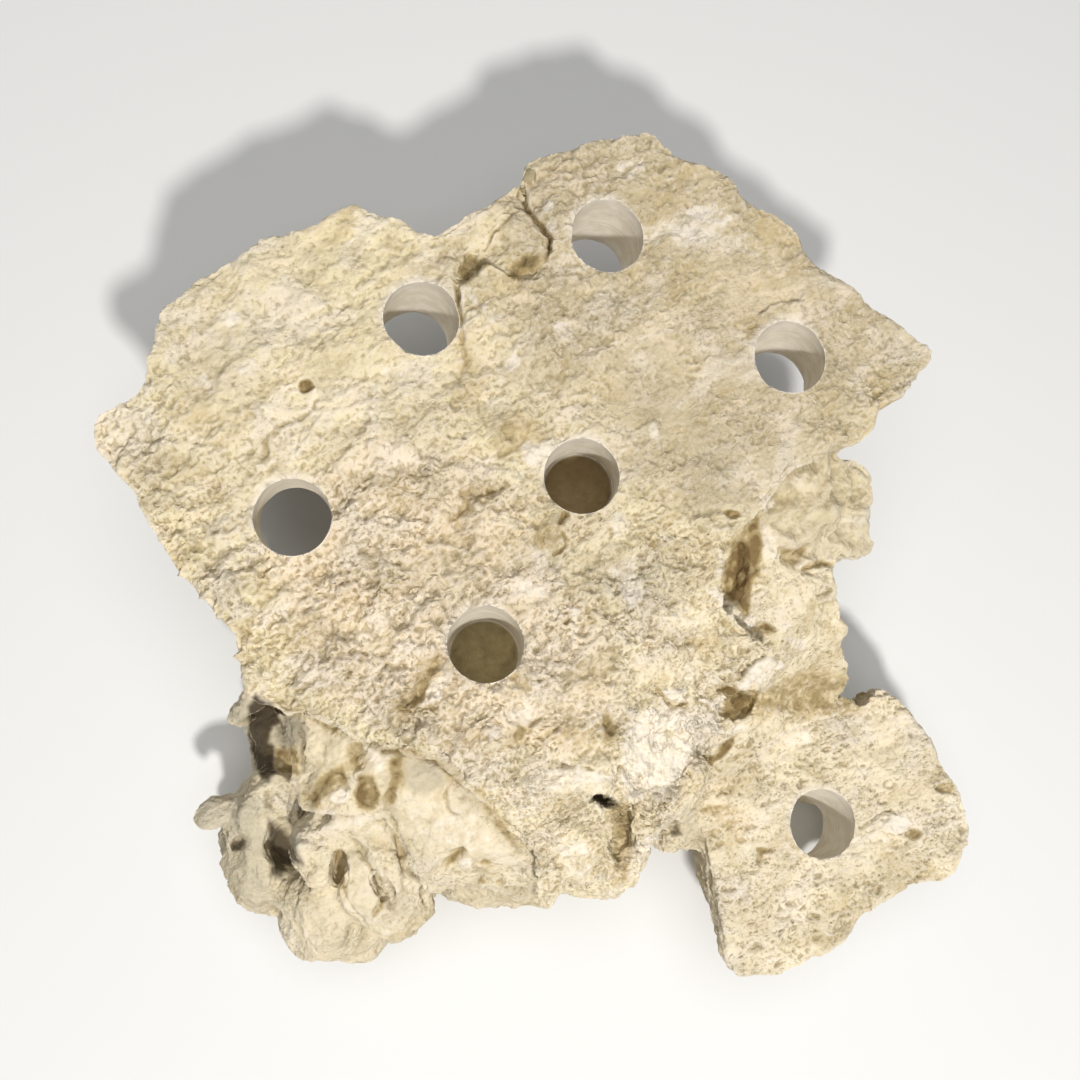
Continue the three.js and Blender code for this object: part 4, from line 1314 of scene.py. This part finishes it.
def reef_stone():
    n = Nodes("reef_stone")
    where = n.add("ShaderNodeTexCoord").outputs["Object"]
    drawn = n.add("ShaderNodeMapping", {
        "Vector": where, "Rotation": (0.0, 0.0, math.radians(30)), "Scale": (1.5, 1.0, 1.0),
    }, vector_type="TEXTURE").outputs["Vector"]
    wide = n.noise(where, 24, 3)
    middle = n.noise(drawn, 8, 4, 0.6, 0.6)
    other = n.noise(drawn, 5, 4, 0.6, 0.6)
    small = n.noise(where, 2.2, 4, 0.65)
    grit = n.noise(drawn, 0.95, 4, 0.76)
    coarse, crease = n.mask("coarse"), n.mask("crease")
    wall, deep = n.mask("wall"), n.mask("deep")

    # Painted shade in the grit's pits and small holes and painted highlights on its peaks, weaker
    # on smooth places
    plain = n.ramp(n.mask("calm"), 0.0, 1.0, 0.45, 1.0)
    broken = n.times(n.ramp(n.noise(where, 10, 2), 0.35, 0.62, 1.0, 0.45), plain)
    pits = n.times(n.ramp(grit, 0.47, 0.34), broken)
    pits = n.times(pits, n.ramp(coarse, 0.0, 1.0, 0.65, 0.45))
    painted_highlights = n.times(n.ramp(grit, 0.54, 0.68), broken)
    painted_highlights = n.times(painted_highlights, n.ramp(coarse, 0.0, 1.0, 0.7, 0.45))
    holes = n.times(n.ramp(grit, 0.42, 0.35), n.times(broken, coarse))
    # Painted shade in thin dark cracks of the crust
    line = n.math("ABSOLUTE", n.minus(n.noise(where, 3.0, 4, 0.6, 0.5), 0.5))
    gaps = n.times(n.ramp(line, 0.035, 0.01), n.ramp(other, 0.46, 0.54))
    gaps = n.times(gaps, n.mask("cracked"))
    # The marks, with ragged borders
    stray = n.plus(n.times(n.minus(small, 0.5), 2.2), n.minus(grit, 0.5))
    white, brown_stain_and_shade = n.mask("white"), n.mask("brown_stain_and_shade")
    white = n.plus(white, n.times(stray, n.ramp(white, 0.0, 0.2)))
    brown_stain_and_shade = n.plus(brown_stain_and_shade, n.times(stray, n.ramp(brown_stain_and_shade, 0.0, 0.3, -0.3)))
    grey_and_shade = n.times(n.mask("grey_and_shade"), n.ramp(small, 0.3, 0.6, 1.0, 0.7))
    # The pockets' floors, the upper one darker with painted shade, and the bores' drilled walls
    rock = n.coats(DEEP_LIGHT, (n.ramp(deep, 0.6, 1.0), DEEP_POCKET_SHADE),
                   (n.ramp(small, 0.35, 0.65, 0.4), BROWN))
    rings = n.rings(n.mask("depth"), 0.7)
    dust = n.coats(WALL_GREY, (n.ramp(n.noise(where, 3, 3), 0.35, 0.65), WALL_DUST),
                   (n.ramp(rings, 0.5, 0.75, 0.3), GREY))

    colour = n.coats(
        CREAM,
        (n.ramp(wide, 0.42, 0.58), YELLOW),
        (n.ramp(n.plus(n.mask("pink"), middle), 0.75, 1.3, 0.8), PINK),
        (n.times(n.mask("pale"), 0.85), PALE),
        (n.times(n.mask("tan"), 0.85), TAN),
        (n.ramp(middle, 0.51, 0.62, 0.5), WHITE),
        (n.ramp(middle, 0.48, 0.36, 0.5), OCHRE),
        (n.ramp(other, 0.52, 0.62, 0.45), PINK),
        (n.ramp(other, 0.48, 0.36, 0.5), TAN),
        (n.ramp(small, 0.54, 0.7, 0.22), PALE),
        (n.ramp(small, 0.44, 0.28, 0.22), OCHRE),
        # Painted shade in the grit's pits and holes, and painted highlights on its peaks
        (pits, PAINTED_SHADE_OLIVE),
        (painted_highlights, WHITE),
        (n.times(holes, 0.7), SHADE),
        # Painted shade in hollows and creases, and a painted highlight on crests
        (n.ramp(n.mask("hollow"), 0.05, 0.9, 0.3), PAINTED_SHADE_OLIVE),
        (n.ramp(crease, 0.15, 1.0, 0.55), PAINTED_SHADE_OLIVE),
        (n.ramp(crease, -0.1, -1.0, 0.35), WHITE),
        # Grey tones, and painted shade on some grey marks
        (n.times(grey_and_shade, 0.8), GREY),
        (n.ramp(white, 0.15, 0.95, 0.9), WHITE),
        # Brown stains, and painted shadow on some brown marks
        (n.ramp(brown_stain_and_shade, 0.0, 0.35, 0.5), OCHRE),
        (n.ramp(brown_stain_and_shade, 0.25, 0.6, 0.75), OLIVE_BROWN),
        (n.ramp(brown_stain_and_shade, 0.6, 0.95, 0.9), BROWN),
        # Painted shade in the crust's thin cracks
        (n.times(gaps, 0.8), SHADE),
        # Painted shade in recesses, cracks and holes
        (n.times(n.mask("dark_shade"), 0.94), DARK_SHADE),
        # Whitened bore rims: dust, and a painted highlight
        (n.times(n.mask("rim"), 0.6), WHITE),
        (n.ramp(deep, 0.1, 0.5), rock),
        (wall, dust))
    height = n.minus(grit, n.times(gaps, 0.5))
    height = n.times(height, n.times(broken, n.ramp(wall, 0.0, 1.0, 0.15, 1.0)))
    normal = n.bump(n.times(rings, wall), 0.08, n.bump(height, 0.8))
    return n.finished(colour, 0.93, {"Normal": normal, "Specular IOR Level": 0.25})


def floor_material():
    return Nodes("floor_pale").finished((0.74, 0.74, 0.73, 1.0), 0.9, {})


# Edges sharper than this aren't shaded as round
SHARP_DEGREES = 62


def make_rock():
    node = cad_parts["reef_rock"]
    whole = add_object("whole", node.data.copy())
    add_lumps(whole)
    plug_bores(whole)
    with_modifier(whole, "REMESH", mode="VOXEL", voxel_size=COARSE * MM)
    rub_facets(whole)
    carve_broad(whole)
    with_modifier(whole, "REMESH", mode="VOXEL", voxel_size=FINE * MM)
    carve_fine(whole)
    thin_out(whole)
    cut_bores(whole)
    with_modifier(whole, "TRIANGULATE")
    whole.data.shade_smooth()
    whole.data.set_sharp_from_angle(angle=math.radians(SHARP_DEGREES))
    stone = reef_stone()
    for piece in share_out(whole):
        piece.data.materials.append(stone)
        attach(piece, "root")
        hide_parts("reef_rock")


# The floor's half side and how far it lies under the rock, in metres
FLOOR_HALF = 3.0
FLOOR_DROP = 0.0002


def make_floor():
    half = FLOOR_HALF
    mesh = bpy.data.meshes.new("floor")
    mesh.from_pydata([(-half, -half, 0), (half, -half, 0), (half, half, 0), (-half, half, 0)], [],
                     [(0, 1, 2, 3)])
    mesh.materials.append(floor_material())
    floor = add_object("floor", mesh)
    floor.location.z = -FLOOR_DROP


def aim(item, place, target, up=(0, 0, 1)):
    """Puts a lamp or camera at a place, in millimetres, looking at a target."""
    back = Vector(place) - Vector(target)
    back.normalize()
    across = Vector(up).cross(back).normalized()
    above = back.cross(across)
    turn = Matrix((across, above, back)).transposed()
    item.matrix_world = Matrix.Translation(Vector(place) * MM) @ turn.to_4x4()


def make_camera():
    data = bpy.data.cameras.new("camera")
    data.sensor_width = SENSOR
    data.lens = VIEW_REACH * PIXELS_PER_MM / PHOTO_PIXELS * SENSOR
    camera = add_object("camera", data)
    aim(camera, VIEW_EYE, VIEW_MIDDLE, UP)
    data.clip_start = 0.01
    data.clip_end = 20
    bpy.context.scene.camera = camera


def make_lamp(name, place, size, power, colour=(1, 1, 1)):
    data = bpy.data.lights.new(name, "AREA")
    data.shape = "DISK"
    data.size = size * MM
    data.energy = power
    data.color = colour
    lamp = add_object(name, data)
    aim(lamp, place, (0, 0, 30), (0, 1, 0))


def make_light():
    make_lamp("key", place=(50, -390, 640), size=56, power=4.25, colour=(1.0, 0.983, 0.96))
    make_lamp("softbox", place=(-60, 60, 1000), size=900, power=5.65)
    world = bpy.data.worlds.new("world")
    world.use_nodes = True
    background = world.node_tree.nodes["Background"].inputs
    background["Color"].default_value = (1.0, 1.0, 1.0, 1.0)
    background["Strength"].default_value = 0.08
    bpy.context.scene.world = world
    bpy.context.scene.view_settings.view_transform = "Standard"


make_camera()
make_rock()
make_floor()
make_light()
